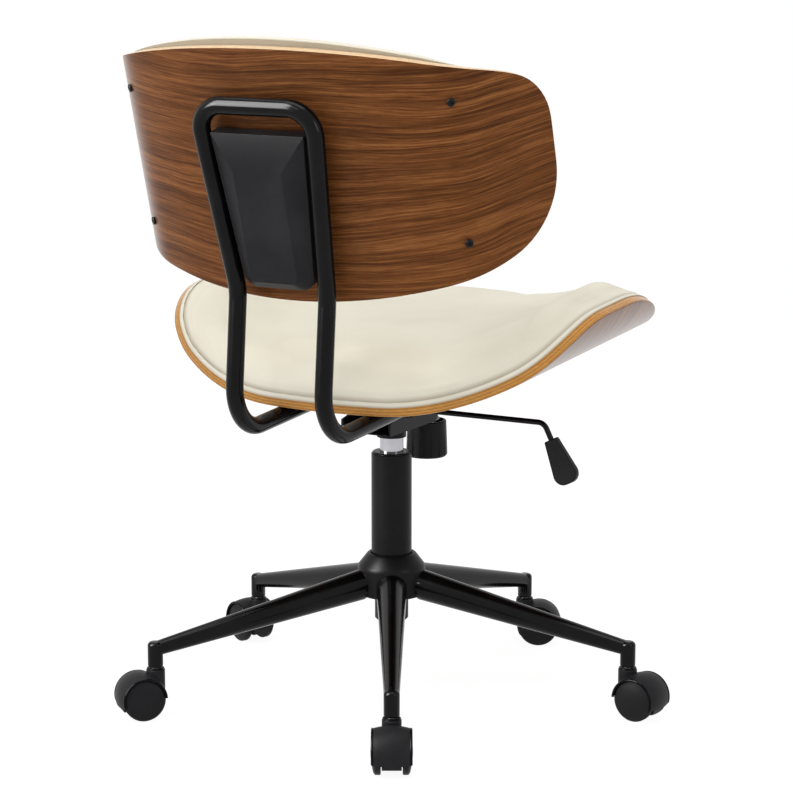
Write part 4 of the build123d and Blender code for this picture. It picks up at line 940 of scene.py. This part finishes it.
def add_cylinder(name, radius, low, high, sides=40):
    bpy.ops.object.select_all(action="DESELECT")
    middle = (0, 0, (low + high) / 2)
    bpy.ops.mesh.primitive_cylinder_add(vertices=sides, radius=radius, depth=high - low, location=middle)
    piece = bpy.context.active_object
    piece.name = name
    bpy.ops.object.transform_apply(location=True, rotation=True, scale=True)
    return piece


def join(name, pieces):
    bpy.ops.object.select_all(action="DESELECT")
    for piece in pieces:
        piece.select_set(True)
    bpy.context.view_layer.objects.active = pieces[0]
    bpy.ops.object.join()
    pieces[0].name = name
    return pieces[0]


def model_screw():
    head = add_cylinder("screw", SCREW_HEAD_RADIUS, 0.0, SCREW_HEAD)
    apply_modifier(head, "BEVEL", width=HEAD_EASE, segments=3, limit_method="ANGLE", angle_limit=radians(50))
    socket = add_cylinder("socket", SOCKET_RADIUS, SOCKET_FLOOR, 2 * SCREW_HEAD, sides=6)
    apply_modifier(head, "BOOLEAN", operation="DIFFERENCE", object=socket, solver="EXACT")
    bpy.data.objects.remove(socket)
    shank = add_cylinder("shank", SHANK_RADIUS, SHANK_END, SHANK_TOP, sides=20)
    return join("screw", [head, shank])


def standing(place, direction):
    """Matrix that stands a piece modelled along +Z at a place, in a direction."""
    turn = Vector(direction).to_track_quat("Z", "Y").to_matrix().to_4x4()
    turn.translation = place
    return turn


def copy_at(source, name, matrix):
    copy = bpy.data.objects.new(name, source.data.copy())
    bpy.context.scene.collection.objects.link(copy)
    copy.data.transform(matrix)
    return copy


def place_screws():
    screw = model_screw()
    copies = []
    for along in (-SCREW_ALONG, SCREW_ALONG):
        for up in (-SCREW_UP, SCREW_UP):
            foot, aim = BACK_FORM.bend(np.full(2, along), np.full(2, up), np.array([-HEAD_GAP, -HEAD_AIM]))
            copies.append(copy_at(screw, "screw_copy", standing(Vector(foot), aim - foot)))
    bpy.data.objects.remove(screw)
    screws = join("screws", copies)
    smooth(screws)
    wear(screws, "back_screws", "dark_screw")
    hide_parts("back_screws")
    print("screws:", len(screws.data.polygons), "faces")


place_screws()

# %% [markdown]
# ## Trim on the casters
# A polished bead runs along each side of a hood, from the front at axle height over the wheel to the back,
# and a polished collar sits on the neck. A bead could be a bevelled curve, but an arc kept from a ring has
# even faces. One trim is modelled in the axle's own frame, with X from the stem to the axle, then copied.

# %% Caster trim
TRIM_RADIUS, TRIM_BEAD, TRIM_SIDE = 0.0252, 0.0016, 0.0213
TRIM_FROM, TRIM_TO = radians(-17), radians(175)
FACE_FROM, FACE_TO, FACE_DRAW = 0.0178, 0.0198, 0.05
COLLAR_RADIUS, COLLAR_BEAD, COLLAR_RISE = 0.0093, 0.0011, 0.0330


def add_ring(name, radius, bead, place, turn):
    bpy.ops.object.select_all(action="DESELECT")
    bpy.ops.mesh.primitive_torus_add(
        major_radius=radius, minor_radius=bead, major_segments=90, minor_segments=12,
        location=place, rotation=turn,
    )
    ring = bpy.context.active_object
    ring.name = name
    bpy.ops.object.transform_apply(location=True, rotation=True, scale=True)
    return ring


def keep_arc(ring, start, end):
    """Cut a ring about Y down to the arc between two angles, and close its ends."""
    only(ring)
    bpy.ops.object.mode_set(mode="EDIT")
    bpy.ops.mesh.select_mode(type="FACE")
    bpy.ops.mesh.select_all(action="DESELECT")
    bpy.ops.object.mode_set(mode="OBJECT")
    for face in ring.data.polygons:
        angle = atan2(face.center.z, face.center.x)
        angle = angle + 2 * pi if angle < radians(-90) else angle
        face.select = not start < angle < end
    bpy.ops.object.mode_set(mode="EDIT")
    bpy.ops.mesh.delete(type="FACE")
    bpy.ops.mesh.select_mode(type="EDGE")
    bpy.ops.mesh.select_all(action="SELECT")
    bpy.ops.mesh.fill_holes(sides=0)
    bpy.ops.object.mode_set(mode="OBJECT")


def middle_of(node):
    low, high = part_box(node)
    return (Vector(low) + Vector(high)) / 2


def axle_frame(number):
    axle, stem = middle_of(f"caster_{number}_axle"), middle_of(f"caster_{number}_stem")
    trail = Vector((axle.x - stem.x, axle.y - stem.y, 0))
    ahead, up = trail.normalized(), Vector((0, 0, 1))
    turn = Matrix((ahead, up.cross(ahead), up)).transposed().to_4x4()
    turn.translation = axle
    return turn, trail.length


def narrow_face(wheel, axle):
    """Draw a wheel's outer face in from the bead, so that a dark gap shows round it."""
    local = np.array([axle.inverted() @ vertex.co for vertex in wheel.data.vertices])
    step = np.clip((np.abs(local[:, 1]) - FACE_FROM) / (FACE_TO - FACE_FROM), 0, 1)
    local[:, (0, 2)] *= (1 - FACE_DRAW * step * step * (3 - 2 * step))[:, None]
    put_points(wheel, np.array([axle @ Vector(point) for point in local]))


def dress_casters():
    beads = []
    for side in (-TRIM_SIDE, TRIM_SIDE):
        bead = add_ring("bead", TRIM_RADIUS, TRIM_BEAD, (0, side, 0), (pi / 2, 0, 0))
        keep_arc(bead, TRIM_FROM, TRIM_TO)
        beads.append(bead)
    collar = add_ring("collar", COLLAR_RADIUS, COLLAR_BEAD, (-axle_frame(1)[1], 0, COLLAR_RISE), (0, 0, 0))
    trim = join("trim", beads + [collar])
    for number in CASTERS:
        copy = copy_at(trim, f"caster_{number}_trim", axle_frame(number)[0])
        face_out(copy)
        smooth(copy, radians(60))
        wear(copy, f"caster_{number}_hood", "gloss_trim")
        for side in "ab":
            narrow_face(bpy.data.objects[f"caster_{number}_wheel_{side}_dressed"], axle_frame(number)[0])
    print("caster trims:", len(CASTERS), "each", len(trim.data.polygons), "faces")
    bpy.data.objects.remove(trim)


dress_casters()

# %% [markdown]
# ## Studio
# The chair stands on a pale floor in soft light from large panels, with a white surround. A white picture
# could come from more light, but that would bleach the leather. So the floor and the surround are white for
# the camera and in reflections, but light the chair less than that, and the floor still takes a soft
# shadow. One tall panel is seen in reflections alone: it draws the bright line along the black tubes.

# %% Floor, light and surround
FLOOR_SIZE = 80.0
FLOOR_WHITE, FLOOR_GLOW = 1.13, 0.82
SURROUND_LIGHT = 0.45
WHITE = (1.0, 1.0, 1.0, 1.0)
CHAIR_MIDDLE = (0, 0, 0.45)
BACK_MIDDLE = (0, 0.33, 0.75)


def add_floor():
    bpy.ops.object.select_all(action="DESELECT")
    bpy.ops.mesh.primitive_plane_add(size=FLOOR_SIZE, location=(0, 0, 0))
    floor = bpy.context.active_object
    floor.name = "floor"
    finish = Finish("floor")
    nodes, links = finish.tree.nodes, finish.tree.links
    finish.shade(Base_Color=(0.9, 0.9, 0.9, 1.0), Roughness=0.9)
    glow = finish.node("ShaderNodeEmission", inputs={"Color": WHITE, "Strength": FLOOR_WHITE})
    rays = nodes.new("ShaderNodeLightPath")
    seen = Value(finish, rays.outputs["Is Camera Ray"]) + Value(finish, rays.outputs["Is Glossy Ray"])
    blend = nodes.new("ShaderNodeMixShader")
    links.new((seen * FLOOR_GLOW).socket, blend.inputs["Fac"])
    links.new(finish.shader.outputs[0], blend.inputs[1])
    links.new(glow.socket, blend.inputs[2])
    links.new(blend.outputs[0], nodes["Material Output"].inputs["Surface"])
    floor.data.materials.append(finish.material)


def add_world():
    world = bpy.data.worlds.new("surround")
    bpy.context.scene.world = world
    world.use_nodes = True
    nodes, links = world.node_tree.nodes, world.node_tree.links
    plain = nodes["Background"]
    plain.inputs["Color"].default_value = WHITE
    plain.inputs["Strength"].default_value = SURROUND_LIGHT
    white = nodes.new("ShaderNodeBackground")
    white.inputs["Color"].default_value = WHITE
    white.inputs["Strength"].default_value = 1.0
    rays = nodes.new("ShaderNodeLightPath")
    seen = rays.outputs["Is Camera Ray"]
    for kind in ("Is Glossy Ray", "Is Transmission Ray"):
        either = nodes.new("ShaderNodeMath")
        either.operation = "MAXIMUM"
        links.new(seen, either.inputs[0])
        links.new(rays.outputs[kind], either.inputs[1])
        seen = either.outputs[0]
    blend = nodes.new("ShaderNodeMixShader")
    links.new(seen, blend.inputs["Fac"])
    links.new(plain.outputs[0], blend.inputs[1])
    links.new(white.outputs[0], blend.inputs[2])
    links.new(blend.outputs[0], nodes["World Output"].inputs["Surface"])


def add_panel(name, place, target, size, power):
    data = bpy.data.lights.new(name, "AREA")
    data.shape = "RECTANGLE"
    data.size, data.size_y = size
    data.energy = power
    panel = bpy.data.objects.new(name, data)
    bpy.context.scene.collection.objects.link(panel)
    panel.location = place
    panel.rotation_euler = (Vector(target) - Vector(place)).to_track_quat("-Z", "Y").to_euler()
    return panel


add_floor()
add_world()
add_panel("top_panel", (0.0, 0.2, 2.7), CHAIR_MIDDLE, size=(1.8, 1.5), power=30)
add_panel("strip_panel", (0.3, 2.0, 2.3), (0, 0.3, 0.75), size=(1.2, 0.2), power=9)
add_panel("left_panel", (1.9, 2.4, 1.6), CHAIR_MIDDLE, size=(0.6, 1.0), power=22)
add_panel("right_panel", (-2.6, 0.6, 1.2), CHAIR_MIDDLE, size=(0.5, 1.2), power=12)
shine_panel = add_panel("shine_panel", (1.6, 2.4, 2.1), BACK_MIDDLE, size=(1.6, 3.0), power=400)
shine_panel.visible_diffuse = False

# %% [markdown] ## Finish
